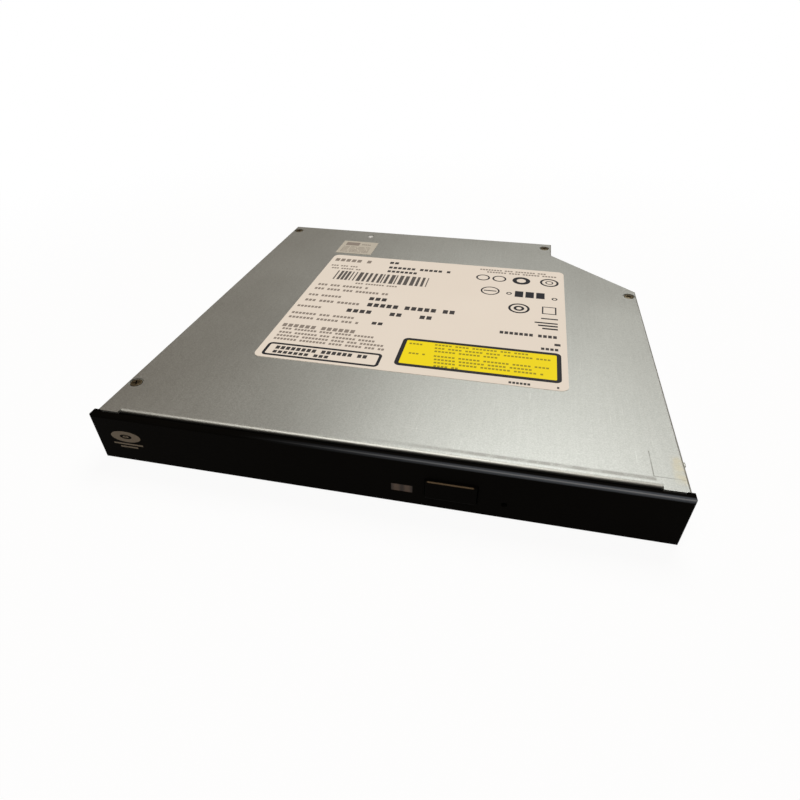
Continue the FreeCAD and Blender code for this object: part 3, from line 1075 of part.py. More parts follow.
def make_latch():
    """Lock lever, solenoid, plunger, eject pusher and its spring."""
    lever_top = "(lever_low + lever_thick)"
    lever = Piece("lock_lever")
    hook_rear = "(post_y + post_radius + 2.0)"
    hook_front = "(post_y + post_radius + 0.3)"
    lever.add("Z", [corners(
        ("(pivot_x - 1.1)", "(pivot_y + 1)"), ("(pivot_x - 1.1)", "(pivot_y - 8)"),
        ("(pivot_x - 8)", "(pivot_y - 10.6)"), ("(pivot_x - 13.5)", "(pivot_y - 10.6)"),
        ("(pivot_x - 13.5)", "(pivot_y - 12)"), ("(pivot_x - 8)", "(pivot_y - 12)"),
        ("(pivot_x - 1.1)", "(pivot_y - 10.4)"), ("(pivot_x - 1.1)", hook_front),
        ("(post_x - post_radius - 0.7)", hook_front), ("(post_x - post_radius - 0.7)", hook_rear),
        ("(pivot_x + 1.1)", f"({hook_rear} + 0.8)"), ("(pivot_x + 1.1)", "(pivot_y + 1)"))],
              "lever_low", lever_top)
    lever.add("Z", [circle("pivot_x", "pivot_y", "(pivot_radius + 1)")],
              "lever_low - 0.2", "floor_low - 0.2")
    prong = "(neck_radius + 0.5)"
    lever.add("Z", [rect(f"(plunger_x + {prong})", "(pivot_y - 0.4)", "(pivot_x - 1)",
                         "(pivot_y + 0.4)")], "lever_low", lever_top)
    lever.add("Z", [rect(f"(plunger_x + {prong})", "(pivot_y - 0.4)",
                         f"(plunger_x + {prong} + 0.8)", "(pivot_y + 0.4)")],
              "lever_low", f"{lever_top} + 0.8")
    lever.add("Z", [rect(f"(plunger_x - {prong} - 0.8)", "(pivot_y - 0.4)",
                         f"(plunger_x - {prong})", "(pivot_y + 0.4)")],
              "lever_low", f"{lever_top} + 0.8")
    lever.add("Z", [rect(f"(plunger_x - {prong} - 0.8)", "(pivot_y - 0.4)",
                         f"(plunger_x + {prong} + 0.8)", "(pivot_y + 0.4)")],
              f"{lever_top} + 0.3", f"{lever_top} + 0.8")
    lever.cut("Z", [circle("pivot_x", "pivot_y", "(pivot_radius + pivot_play)")],
              "lever_low - 0.2", "floor_low - 0.2")

    solenoid = Piece("solenoid")
    front, rear = "(pivot_y + 3)", "(pivot_y + 16)"
    left, right = "(plunger_x - 4.5)", "(plunger_x + 4.5)"
    solenoid.add("Z", [rect(left, front, right, rear)], "floor_low - 0.6", "floor_low")
    for start, end in ((front, f"({front} + 0.7)"), (f"({rear} - 0.7)", rear)):
        solenoid.add("Z", [rect(left, start, right, end)], "base_low", "floor_low")
    solenoid.add("Y", [circle("plunger_x", "plunger_z", "1.7")], front, rear)
    solenoid.cut("Y", [circle("plunger_x", "plunger_z", "(plunger_radius + 0.05)")], front,
                 f"{rear} - 0.7")
    plunger = Piece("plunger")
    for start, end, radius in (("pivot_y + 1.05", "pivot_y + 12", "plunger_radius"),
                               ("pivot_y - 1.1", "pivot_y + 1.1", "neck_radius"),
                               ("pivot_y - 1.9", "pivot_y - 1.05", "plunger_radius")):
        plunger.add("Y", [circle("plunger_x", "plunger_z", radius)], start, end)

    pusher = Piece("eject_pusher")
    nose = "(case_rear - sheet - 0.1)"
    pusher.add("Y", [circle("pusher_x", "pusher_z", "pusher_radius")], "pusher_tail", nose)
    pusher.dress("Fillet", "0.5", lambda edge: edge.BoundBox.YMin > number(nose) - 1e-6)

    coil = Piece("eject_spring")
    coil.add("Y", [circle("pusher_x", "pusher_z", "spring_radius"),
                   circle("pusher_x", "pusher_z", "(spring_radius - spring_wire)")],
             "trough_front + 1", "pusher_tail")


def check_document():
    """Every object has been made, and every cut has removed something."""
    doc.recompute()
    for item in doc.Objects:
        if "Invalid" in item.State or "Error" in item.State:
            raise RuntimeError(f"{item.Label} could not be made: {item.State}")
        if item.TypeId == "PartDesign::Pocket":
            before = item.BaseFeature.Shape.Volume
            if item.Shape.Volume > before - 1e-6:
                raise RuntimeError(f"{item.Name} removes nothing")
    for item in pieces:
        if item.Shape.isNull() or not item.Shape.isValid() or not item.Shape.Solids:
            raise RuntimeError(f"{item.Label} has no valid solid")


make_top_cover()
make_bottom_case()
make_guides_and_rails()
make_small_case_parts()
make_tray()
make_bezel()
make_front_controls()
make_drawer_electronics()
make_rear_connection()
make_chassis()
make_spindle()
make_pickup()
make_latch()
check_document()
for item in pieces:
    item.Shape.exportStep(f"parts/{item.Label}.step")
    box = item.Shape.BoundBox
    print(f"{item.Label:18s} solids {len(item.Shape.Solids):2d}  volume {item.Shape.Volume:9.1f}"
          f"  z {box.ZMin:6.2f} {box.ZMax:6.2f}")
print(len(pieces), "pieces")
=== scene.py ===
import math
import random

import bpy
from mathutils import Matrix, Vector


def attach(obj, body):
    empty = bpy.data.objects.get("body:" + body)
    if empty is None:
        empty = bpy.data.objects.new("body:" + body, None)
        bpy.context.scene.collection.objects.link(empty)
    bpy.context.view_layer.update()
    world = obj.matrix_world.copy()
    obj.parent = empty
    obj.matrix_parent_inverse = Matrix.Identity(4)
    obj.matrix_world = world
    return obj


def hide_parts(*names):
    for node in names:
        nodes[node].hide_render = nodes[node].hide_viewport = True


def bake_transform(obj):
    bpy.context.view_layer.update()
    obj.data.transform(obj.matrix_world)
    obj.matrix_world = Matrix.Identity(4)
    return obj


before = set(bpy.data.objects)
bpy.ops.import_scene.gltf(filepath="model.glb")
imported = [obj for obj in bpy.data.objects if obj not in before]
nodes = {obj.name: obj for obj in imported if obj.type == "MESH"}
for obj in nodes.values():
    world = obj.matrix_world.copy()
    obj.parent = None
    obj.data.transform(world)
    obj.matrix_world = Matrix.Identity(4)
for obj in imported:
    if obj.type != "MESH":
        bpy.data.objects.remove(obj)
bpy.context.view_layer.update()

MM = 0.001
SLED = math.radians(225)
picked = random.Random(7)


# Camera, floor and light.

def place_camera():
    """The photograph's own viewpoint, fitted to the drive's corners."""
    bpy.ops.object.camera_add(
        location=(0.0256, -0.1432, 0.0871),
        rotation=(math.radians(52.85), math.radians(0.13), math.radians(12.08)))
    camera = bpy.context.object
    camera.data.lens = 24.42
    camera.data.sensor_width = 36
    camera.data.shift_x = -0.0054
    camera.data.shift_y = 0.0104
    camera.data.clip_start = 0.005
    camera.data.clip_end = 30
    bpy.context.scene.camera = camera


def softbox(place, aim, width, height, watts, colour):
    """One rectangular studio lamp that looks at a point."""
    bpy.ops.object.light_add(type="AREA", location=place)
    lamp = bpy.context.object
    lamp.data.shape = "RECTANGLE"
    lamp.data.size = width
    lamp.data.size_y = height
    lamp.data.energy = watts
    lamp.data.color = colour
    lamp.rotation_euler = (Vector(aim) - Vector(place)).to_track_quat("-Z", "Y").to_euler()


# Material making.

class Value:
    """A socket in a material, so that sums on it read as plain arithmetic."""

    def __init__(self, surface, socket):
        self.surface = surface
        self.socket = socket

    def math(self, operation, *others):
        return self.surface.node("ShaderNodeMath", {"operation": operation}, self, *others)

    def __add__(self, other):
        return self.math("ADD", other)

    def __radd__(self, other):
        return self.math("ADD", other)

    def __sub__(self, other):
        return self.math("SUBTRACT", other)

    def __rsub__(self, other):
        return self.surface.node("ShaderNodeMath", {"operation": "SUBTRACT"}, other, self)

    def __mul__(self, other):
        return self.math("MULTIPLY", other)

    def __rmul__(self, other):
        return self.math("MULTIPLY", other)

    def __abs__(self):
        return self.math("ABSOLUTE")

    def step(self, low, high):
        """Rises from 0 at low to 1 at high."""
        return self.surface.node("ShaderNodeMapRange", {"interpolation_type": "SMOOTHSTEP"},
                                 self, low, high, 0.0, 1.0)


class Graph:
    """The nodes of a material or of the surround."""

    def __init__(self, tree):
        self.tree = tree

    def node(self, kind, settings, *inputs, out=0, **named):
        """Adds a node: its settings first, then its sockets by order or by name."""
        item = self.tree.nodes.new(kind)
        for key, value in settings.items():
            setattr(item, key, value)
        pairs = list(zip((s for s in item.inputs if s.enabled), inputs))
        pairs += [(item.inputs[key], value) for key, value in named.items()]
        for socket, value in pairs:
            if isinstance(value, Value):
                self.tree.links.new(value.socket, socket)
            else:
                socket.default_value = value
        return Value(self, item.outputs[out])


class Surface(Graph):
    """A procedural finish: one principled shader, measured in millimetres on the object."""

    def __init__(self, name, **constants):
        self.material = bpy.data.materials.new(name)
        self.material.use_nodes = True
        super().__init__(self.material.node_tree)
        self.shader = self.tree.nodes["Principled BSDF"]
        for key, value in constants.items():
            self.shader.inputs[key.replace("_", " ")].default_value = value
        where = self.node("ShaderNodeTexCoord", {}, out="Object")
        self.place = self.node("ShaderNodeVectorMath", {"operation": "SCALE"}, where, Scale=1000)
        split = self.tree.nodes.new("ShaderNodeSeparateXYZ")
        self.tree.links.new(self.place.socket, split.inputs[0])
        self.x, self.y, self.z = (Value(self, socket) for socket in split.outputs)

    def stretched(self, x, y, z):
        """The place, stretched for a grain that runs one way."""
        return self.node("ShaderNodeMapping", {}, self.place, Scale=(x, y, z))

    def noise(self, scale, detail=2.0, rough=0.5, place=None):
        """Soft random patches."""
        return self.node("ShaderNodeTexNoise", {}, Vector=place or self.place, Scale=scale,
                         Detail=detail, Roughness=rough)

    def cells(self, scale, place=None):
        """The distance to the nearest of many scattered points."""
        return self.node("ShaderNodeTexVoronoi", {}, Vector=place or self.place, Scale=scale,
                         out="Distance")

    def mix(self, first, second, factor):
        """Blends two colours."""
        item = self.tree.nodes.new("ShaderNodeMix")
        item.data_type = "RGBA"
        for socket, value in ((item.inputs[0], factor), (item.inputs[6], first),
                              (item.inputs[7], second)):
            if isinstance(value, Value):
                self.tree.links.new(value.socket, socket)
            else:
                socket.default_value = value
        return Value(self, item.outputs[2])

    def set(self, **sockets):
        """Feeds what changes over the surface."""
        for key, value in sockets.items():
            self.tree.links.new(value.socket, self.shader.inputs[key.replace("_", " ")])

    def bump(self, height, strength, distance):
        """Roughens the shading by a height."""
        normal = self.node("ShaderNodeBump", {}, Height=height, Strength=strength,
                           Distance=distance, out="Normal")
        self.tree.links.new(normal.socket, self.shader.inputs["Normal"])

    def box_mask(self, left, low, right, high, soft=0.05):
        """1 inside a rectangle of the plan, with a soft edge."""
        across = self.x.step(left - soft, left + soft) * (1 - self.x.step(right - soft, right + soft))
        along = self.y.step(low - soft, low + soft) * (1 - self.y.step(high - soft, high + soft))
        return across * along


def linear(red, green, blue):
    """A colour given in screen values of 0 to 255."""
    parts = []
    for part in (red, green, blue):
        part = part / 255
        parts.append(part / 12.92 if part <= 0.04045 else ((part + 0.055) / 1.055) ** 2.4)
    return (*parts, 1.0)


def zinc_sheet(name, dark, light, metal=0.85, rough=0.42):
    """Zinc-plated sheet: fine grain, faint rolled streaks, soft blotches, a few scratches."""
    s = Surface(name, Metallic=metal)
    grain = s.noise(3.2, 3.0, 0.65)
    speck = s.noise(7.0, 1.0)
    rolled = s.noise(1.0, 3.0, 0.6, s.stretched(2.2, 0.06, 1))
    cloud = s.noise(0.03, 2.0)
    tone = grain.step(0.25, 0.75) * 0.4 + speck.step(0.3, 0.8) * 0.2 + rolled * 0.2 + cloud * 0.3
    colour = s.mix(dark, light, tone)
    lines = s.noise(1.0, 1.0, 0.5, s.stretched(0.05, 5.0, 1)).step(0.71, 0.76)
    across = s.noise(1.0, 1.0, 0.5, s.stretched(4.0, 0.09, 1)).step(0.73, 0.77)
    marks = (lines + across) * cloud.step(0.45, 0.6)
    s.set(Base_Color=s.mix(colour, light, marks * 0.5),
          Roughness=rough + grain * 0.16 - marks * 0.1 + cloud * 0.06)
    s.bump(grain + speck * 0.4, 0.18, 0.00006)
    return s


def moulded(name, colour, rough=0.5, grain=6.0, depth=0.3, bright=1.35):
    """Moulded plastic with an eroded grain, a little uneven in gloss."""
    s = Surface(name)
    pebble = s.noise(grain, 2.0, 0.6)
    slow = s.noise(0.08, 2.0)
    lit = tuple(min(1, part * bright) for part in colour[:3]) + (1.0,)
    s.set(Base_Color=s.mix(colour, lit, pebble * 0.6 + slow * 0.4),
          Roughness=rough + pebble * 0.12 + slow * 0.1)
    s.bump(pebble, depth, 0.00005)
    return s


def pressed(name, colour, rough=0.3, metal=1.0):
    """Bright pressed steel with a faint rolled grain."""
    s = Surface(name, Metallic=metal)
    rolled = s.noise(1.0, 3.0, 0.6, s.stretched(0.12, 3.0, 1))
    fine = s.noise(5.0, 2.0)
    dark = tuple(part * 0.78 for part in colour[:3]) + (1.0,)
    s.set(Base_Color=s.mix(dark, colour, rolled * 0.6 + fine * 0.4),
          Roughness=rough + rolled * 0.12 + fine * 0.06)
    s.bump(rolled, 0.12, 0.00003)
    return s


def paper(name, colour, shade, rough=0.55):
    """Coated paper with a slight tooth."""
    s = Surface(name, Specular_IOR_Level=0.25)
    tooth = s.noise(9.0, 3.0, 0.6)
    slow = s.noise(0.04, 2.0)
    s.set(Base_Color=s.mix(colour, shade, slow * 0.7 + tooth * 0.3), Roughness=rough + tooth * 0.1)
    s.bump(tooth, 0.1, 0.00003)
    return s


def circuit_board(name):
    """Green board: lacquer over tracks, with rows of pads."""
    s = Surface(name)
    tracks = abs(s.cells(0.45, s.stretched(1, 0.35, 1)) - 0.5).step(0.02, 0.09)
    pads = s.cells(1.1).step(0.16, 0.2)
    green = s.mix(linear(14, 92, 52), linear(8, 62, 38), tracks)
    s.set(Base_Color=s.mix(linear(196, 178, 120), green, pads),
          Roughness=0.3 + tracks * 0.1 + s.noise(4.0) * 0.1,
          Metallic=1 - pads)
    s.bump(tracks, 0.2, 0.00004)
    return s


def ribbon_film(name):
    """White film with a row of thin conductors along its length."""
    s = Surface(name)
    wave = (s.x * (2 * math.pi)).math("SINE")
    lines = wave.step(-0.2, 0.3)
    s.set(Base_Color=s.mix(linear(232, 232, 226), linear(150, 152, 156), lines),
          Roughness=0.32 + s.noise(2.0) * 0.1)
    s.bump(lines, 0.25, 0.00005)
    return s


def wound_copper(name):
    """Lacquered copper wire, seen as fine turns one above the other."""
    s = Surface(name, Metallic=0.9)
    turns = (s.z * 40).math("SINE") * 0.5 + 0.5
    s.set(Base_Color=s.mix(linear(120, 62, 32), linear(216, 128, 74), turns),
          Roughness=0.3 + s.noise(3.0) * 0.15)
    s.bump(turns, 0.4, 0.00006)
    return s


def clear_lens(name):
    """Coated objective lens, faintly blue and violet."""
    s = Surface(name, Roughness=0.03, IOR=1.5, Transmission_Weight=0.5)
    tint = s.noise(0.6)
    s.set(Base_Color=s.mix(linear(120, 110, 190), linear(150, 190, 225), tint))
    return s


def smoky_window(name):
    """The lamp's window: smoky brown plastic, paler where two soft patches catch the light."""
    s = Surface(name, Specular_IOR_Level=0.2)
    haze = s.noise(1.6, 2.0)
    patches = (1 - abs(s.x - 6.75).step(0.2, 1.1)) + (1 - abs(s.x - 9.05).step(0.2, 1.0))
    s.set(Base_Color=s.mix(linear(34, 26, 21), linear(80, 65, 54), patches * 0.7 + haze * 0.3),
          Roughness=0.3 + haze * 0.1)
    s.bump(haze, 0.2, 0.00005)
    return s


def cover_finish():
    """The lid's own sheet: painted shade in a shallow groove behind the front fold, painted shade
    under the fold, a painted highlight along the fold's top, and a faint scratched corner and
    yellowed edge by its right ear."""
    s = zinc_sheet("cover_sheet", linear(156, 158, 153), linear(206, 209, 204), 0.94, 0.37)
    base = s.shader.inputs["Base Color"].links[0].from_socket
    fade = s.noise(0.5, 3.0, 0.6).step(0.35, 0.6)
    lines = (s.box_mask(57.0, -58.2, 57.25, -50.6, 0.06)
             + s.box_mask(57.0, -58.3, 63.0, -58.1, 0.06)) * (0.35 + fade * 0.4)
    yellowed = s.box_mask(61.2, -59.5, 63.5, -51.5, 0.7) * (0.1 + fade * 0.22)
    # painted shade of a shallow groove behind the front fold, stronger to the right
    groove_shade = s.box_mask(-8.0, -59.4, 57.5, -58.4, 0.25) * s.x.step(-10, 30) * (0.3 + fade * 0.2)
    front = (1 - s.y.step(-60.6, -60.2)) * s.box_mask(-58.4, -70, 58.4, -50, 0.1)
    # painted shade on the lower face of the front fold
    under = front * (1 - s.z.step(11.6, 12.2))
    # painted highlight along the top of the front fold
    painted_crest_highlight = front * s.z.step(12.15, 12.3) * (1 - s.z.step(12.44, 12.49))
    # real scratches, plus the painted groove shade
    scratched_and_groove_shaded = s.mix(Value(s, base), linear(96, 92, 84), lines * 0.8 + groove_shade)
    shaded = s.mix(scratched_and_groove_shaded, linear(46, 42, 36), under * 0.85)
    bright = s.mix(shaded, linear(255, 244, 224), painted_crest_highlight * 0.8)
    s.set(Base_Color=s.mix(bright, linear(206, 190, 142), yellowed))
    return s


def cover_screw_finish():
    """Dull plated screws, nearly black below the top face and in the cross recess: painted shade."""
    s = Surface("dark_screw", Metallic=0.9)
    fine = s.noise(4.0, 2.0)
    face = s.mix(linear(92, 82, 62), linear(134, 124, 102), fine)
    # painted shade: nearly black below the head's top face, in the cross recess and round the rim
    s.set(Base_Color=s.mix(linear(28, 21, 14), face, s.z.step(12.18, 12.32)),
          Roughness=0.34 + fine * 0.12)
    return s


def bezel_finish():
    """Near-black moulding with a shallow grain and a painted highlight on its upper edge."""
    s = Surface("bezel_black", Specular_IOR_Level=0.01)
    pebble = s.noise(5.0, 2.0, 0.6)
    slow = s.noise(0.05, 2.0)
    # painted highlight: a paler strip on the upper front edge, fading out towards the left
    edge = s.z.step(12.05, 12.5) * (1 - s.y.step(-63.35, -62.95)) * s.x.step(-30, 45)
    # painted highlight: a thin brighter line along the top of that strip
    painted_crest_highlight = edge * (1 - abs(s.y + 63.75).step(0.05, 0.2))
    face = s.mix(linear(5, 4, 3), linear(10, 9, 7), pebble * 0.4 + slow * 0.6)
    painted_edge_light = s.mix(face, linear(72, 76, 82), edge * (0.75 + pebble * 0.25))
    s.set(Base_Color=s.mix(painted_edge_light, linear(128, 130, 132), painted_crest_highlight * (0.35 + slow * 0.4)),
          Roughness=0.42 + pebble * 0.12 + slow * 0.1)
    s.bump(pebble, 0.3, 0.00005)
    return s


def button_finish():
    """The bezel's own black, with a warm glint on the button's upper edge."""
    s = Surface("button_black", Specular_IOR_Level=0.01)
    pebble = s.noise(5.0, 2.0, 0.6)
    edge = s.z.step(8.0, 8.15) * (1 - s.y.step(-64.65, -64.45))
    ends = s.x.step(13.2, 13.6) * (1 - s.x.step(22.7, 23.1))
    face = s.mix(linear(5, 4, 3), linear(9, 8, 7), pebble)
    s.set(Base_Color=s.mix(face, linear(104, 88, 68), edge * ends * (0.7 + pebble * 0.3)),
          Roughness=0.42 + pebble * 0.14)
    s.bump(pebble, 0.3, 0.00005)
    return s


COVER = cover_finish().material
CASE = zinc_sheet("case_sheet", linear(126, 124, 116), linear(196, 194, 186)).material
STEEL = pressed("pressed_steel", linear(206, 206, 204)).material
BRIGHT = pressed("polished_steel", linear(226, 226, 226), 0.14).material
DARK_SCREW = cover_screw_finish().material
BEZEL = bezel_finish().material
BUTTON = button_finish().material
TRAY = moulded("tray_black", linear(30, 30, 31), 0.5, 4.0, 0.4).material
GUIDE = moulded("guide_black", linear(38, 38, 38), 0.42, 8.0, 0.2).material
SOCKET = moulded("socket_white", linear(222, 216, 200), 0.4, 8.0, 0.15, 1.1).material
WHITE_PART = moulded("follower_white", linear(226, 224, 216), 0.35, 8.0, 0.15, 1.05).material
CHIP = moulded("chip_black", linear(34, 34, 36), 0.45, 9.0, 0.2).material
PLUG = moulded("connector_black", linear(26, 26, 27), 0.32, 8.0, 0.15).material
RUBBER = moulded("rubber_grey", linear(52, 52, 52), 0.72, 3.0, 0.4).material
MAGNET = pressed("magnet_grey", linear(128, 128, 130), 0.4, 0.8).material
CASTING = pressed("die_casting", linear(186, 186, 188), 0.42).material
GOLD = pressed("contact_gold", linear(236, 196, 98), 0.22).material
BOARD = circuit_board("board_green").material
RIBBON = ribbon_film("ribbon_film").material
COPPER = wound_copper("wound_copper").material
LENS = clear_lens("lens_coating").material
WINDOW = smoky_window("lamp_window").material
CREAM = paper("label_cream", linear(242, 233, 221), linear(234, 224, 211)).material
SILVER = paper("label_silver", linear(204, 198, 184), linear(188, 182, 168), 0.4).material
YELLOW = paper("label_yellow", (1.0, 0.83, 0.0, 1.0), (0.93, 0.74, 0.0, 1.0)).material
INK = paper("ink_black", linear(26, 28, 34), linear(36, 38, 44)).material
BOLD_INK = paper("ink_bold", linear(54, 52, 53), linear(68, 65, 64)).material
PALE_INK = paper("ink_pale", linear(138, 128, 120), linear(152, 142, 132)).material
STRIPE_INK = paper("ink_stripes", linear(86, 82, 80), linear(98, 94, 90)).material
OLIVE_INK = paper("ink_olive", linear(150, 138, 20), linear(166, 152, 24)).material
# near white and mostly unmetallic: a painted highlight on the polished contact dome
PAINTED_HIGHLIGHT_DOME = pressed("dome_painted_highlight", linear(250, 250, 248), 0.3, 0.3).material
MARK = paper("mark_tan", linear(100, 89, 73), linear(86, 76, 62), 0.5).material

FINISHES = {
    COVER: ("top_cover",),
    CASE: ("bottom_case",),
    STEEL: ("left_rail", "right_rail", "bottom_plate", "chassis", "sled_bracket", "sled_motor",
            "mechanism_cover", "motor_base", "solenoid", "rotor", "actuator_yoke",
            "actuator_cap", "plunger", "lock_post"),
    BRIGHT: ("main_rod", "plain_rod", "spindle_shaft", "lead_screw", "floor_screws",
             "board_screws", "plate_screws", "damper_screws", "eject_spring"),
    DARK_SCREW: ("cover_screws",),
    BEZEL: ("bezel",),
    BUTTON: ("eject_button",),
    TRAY: ("tray", "turntable"),
    GUIDE: ("left_guide", "right_guide", "rod_clamps", "lock_lever", "eject_pusher",
            "lens_holder"),
    SOCKET: ("drawer_socket", "rear_socket", "status_lamp"),
    WHITE_PART: ("screw_follower", "claw_1", "claw_2", "claw_3"),
    CHIP: ("board_chips", "eject_switch"),
    PLUG: ("connector",),
    RUBBER: ("dampers", "friction_ring"),
    MAGNET: ("rotor_magnet", "actuator_magnets"),
    CASTING: ("pickup_body",),
    BOARD: ("main_board", "front_board", "rear_board"),
    RIBBON: ("flat_cable",),
    COPPER: ("stator",),
    LENS: ("objective_lens",),
    WINDOW: ("light_guide",),
    CREAM: ("main_label",),
    SILVER: ("small_label",),
}


def dress_nodes():
    """Gives every solid of the frame its finish."""
    for finish, names in FINISHES.items():
        for name in names:
            nodes[name].data.materials.clear()
            nodes[name].data.materials.append(finish)


# Modelling by hand.

def clear():
    """Selects nothing."""
    bpy.ops.object.select_all(action="DESELECT")


def only(piece):
    """Makes one piece the active and only selected one."""
    clear()
    piece.select_set(True)
    bpy.context.view_layer.objects.active = piece


def settle(piece):
    """Puts a piece's place, turn and size into its mesh."""
    only(piece)
    bpy.ops.object.transform_apply(location=True, rotation=True, scale=True)
    return piece


def block(name, low, high):
    """A block between two corners, in millimetres."""
    low, high = Vector(low) * MM, Vector(high) * MM
    clear()
    bpy.ops.mesh.primitive_cube_add(size=1, location=(low + high) / 2)
    piece = bpy.context.object
    piece.name = name
    piece.scale = high - low
    return settle(piece)


def drum(name, centre, radius, low, high, sides=40):
    """An upright cylinder, in millimetres."""
    clear()
    bpy.ops.mesh.primitive_cylinder_add(
        vertices=sides, radius=radius * MM, depth=(high - low) * MM,
        location=(centre[0] * MM, centre[1] * MM, (low + high) / 2 * MM))
    piece = bpy.context.object
    piece.name = name
    return settle(piece)


def open_up(piece):
    """Enters a piece's mesh with all its faces selected."""
    only(piece)
    bpy.ops.object.mode_set(mode="EDIT")
    bpy.ops.mesh.select_mode(type="FACE")
    bpy.ops.mesh.select_all(action="SELECT")


def leave():
    """Leaves the mesh again."""
    bpy.ops.object.mode_set(mode="OBJECT")


def modify(piece, kind, **settings):
    """Adds a modifier and applies it."""
    only(piece)
    item = piece.modifiers.new(kind.title(), kind)
    for key, value in settings.items():
        setattr(item, key, value)
    bpy.ops.object.modifier_apply(modifier=item.name)
    return piece


def soften(piece, width, segments=2):
    """Rounds the sharp edges and smooths the shading."""
    modify(piece, "BEVEL", width=width * MM, segments=segments, limit_method="ANGLE",
           angle_limit=math.radians(40))
    only(piece)
    bpy.ops.object.shade_smooth_by_angle(angle=math.radians(40))
    return piece


def joined(name, pieces):
    """Several pieces as one."""
    clear()
    for piece in pieces:
        piece.select_set(True)
    bpy.context.view_layer.objects.active = pieces[0]
    if len(pieces) > 1:
        bpy.ops.object.join()
    piece = bpy.context.object
    piece.name = name
    return settle(piece)


def copies(name, piece, places):
    """The piece repeated at several offsets, each copy with its own mesh."""
    made = []
    for place in places:
        twin = piece.copy()
        twin.data = piece.data.copy()
        bpy.context.scene.collection.objects.link(twin)
        twin.location = Vector(place) * MM
        made.append(twin)
    bpy.data.objects.remove(piece)
    return joined(name, made)


def finished(piece, material, body, *replaced):
    """Gives a piece its finish and the body it rides on."""
    piece.data.materials.clear()
    piece.data.materials.append(material)
    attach(piece, body)
    if replaced:
        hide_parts(*replaced)
    return piece


def turned_out(u, v):
    """A place in the pickup's own directions, as a place on the drive."""
    return (u * math.cos(SLED) - v * math.sin(SLED), u * math.sin(SLED) + v * math.cos(SLED))


# Fasteners.

def cross_screw(name, radius, low, high, shank, foot):
    """A pan-head screw with a cross recess in its upper face."""
    head = drum(name, (0, 0), radius, low, high, 36)
    soften(head, min(0.1, (high - low) * 0.35), 2)
    arms = []
    for turn in (0, math.pi / 2):
        arm = block("arm", (-radius * 0.62, -radius * 0.13, high - (high - low) * 0.7),
                    (radius * 0.62, radius * 0.13, high + 1))
        arm.rotation_euler.z = turn + 0.5
        arms.append(settle(arm))
    for arm in arms:
        modify(head, "BOOLEAN", object=arm, operation="DIFFERENCE", solver="EXACT")
        bpy.data.objects.remove(arm)
    stem = soften(drum("stem", (0, 0), shank, foot, low + 0.02, 20), 0.15, 1)
    piece = joined(name, [head, stem])
    only(piece)
    bpy.ops.object.shade_smooth_by_angle(angle=math.radians(35))
    return piece


def flipped(piece):
    """Turns a screw over, so that its head looks down."""
    piece.rotation_euler.x = math.pi
    return settle(piece)


def make_fasteners():
    """All screws, each kind modelled once and copied to its places."""
    cover_places = [(-61.4, -50.0), (-61.4, 60.3), (35.2, 60.3), (61.4, 24.4)]
    screw = cross_screw("cover_screw_heads", radius=1.45, low=12.05, high=12.35, shank=0.78,
                        foot=10.85)
    finished(copies("cover_screw_heads", screw, [(x, y, 0) for x, y in cover_places]),
             DARK_SCREW, "case", "cover_screws")
    foot_x = 61.95
    floor = [(-52, 52.5), (-9, 52.5)]
    floor += [(-foot_x, y) for y in (-52, 8, 52)] + [(foot_x, y) for y in (-52, 0, 12)]
    screw = flipped(cross_screw("floor_screw_heads", radius=1.25, low=-0.4, high=-0.1, shank=0.78,
                                foot=-1.8))
    finished(copies("floor_screw_heads", screw, [(x, y, 0) for x, y in floor]),
             BRIGHT, "case", "floor_screws")
    screw = flipped(cross_screw("board_screw_heads", radius=1.3, low=0, high=0.4, shank=0.76,
                                foot=-2.4))
    places = [(-53, 4, 2.9), (-53, 44, 2.9), (2, 44.5, 2.9), (4.5, -50.5, 3.3), (24.5, -50.5, 3.3)]
    finished(copies("board_screw_heads", screw, places), BRIGHT, "drawer", "board_screws")
    screw = flipped(cross_screw("plate_screw_heads", radius=1.35, low=0, high=0.3, shank=0.76,
                                foot=-2.2))
    places = [(-59, -46, 2.1), (-59, -4, 2.1), (-59, 37, 2.1), (24, -44, 2.1), (24, 20, 2.1)]
    finished(copies("plate_screw_heads", screw, places), BRIGHT, "drawer", "plate_screws")
    screw = flipped(cross_screw("damper_screw_heads", radius=1.8, low=0, high=0.5, shank=0.74,
                                foot=-2.6))
    places = [(*turned_out(u, v), 4.4) for u, v in ((-13, -17.5), (-13, 17), (48, -28), (48, 24))]
    finished(copies("damper_screw_heads", screw, places), BRIGHT, "drawer", "damper_screws")


# Printed fields on the labels.

LABEL_TOP = 12.5
FIELD_THICK = 0.01
FAINT_THICK = 0.012
PRINT_THICK = 0.014
BORDER_THICK = 0.02


def flat_field(left, front, right, rear, low):
    """A level rectangle, given by its edges and height."""
    clear()
    bpy.ops.mesh.primitive_plane_add(
        size=1, location=((left + right) / 2 * MM, (front + rear) / 2 * MM, low * MM))
    piece = bpy.context.object
    piece.scale = ((right - left) * MM, (rear - front) * MM, 1)
    return piece


def thickened(name, piece, thick):
    """Gives flat print its thickness, upwards."""
    piece.name = name
    return modify(piece, "SOLIDIFY", thickness=thick * MM, offset=1)


def print_field(name, fields, low, thick, material, body):
    """A thin print of many rectangles, each given by its left, front, right and rear."""
    sheets = [flat_field(*field, low) for field in fields]
    return finished(thickened(name, joined(name, sheets), thick), material, body)


def hollowed(piece, width):
    """Keeps only the border of a flat piece."""
    open_up(piece)
    bpy.ops.mesh.inset(thickness=width * MM, depth=0)
    bpy.ops.mesh.delete(type="FACE")
    leave()
    return piece


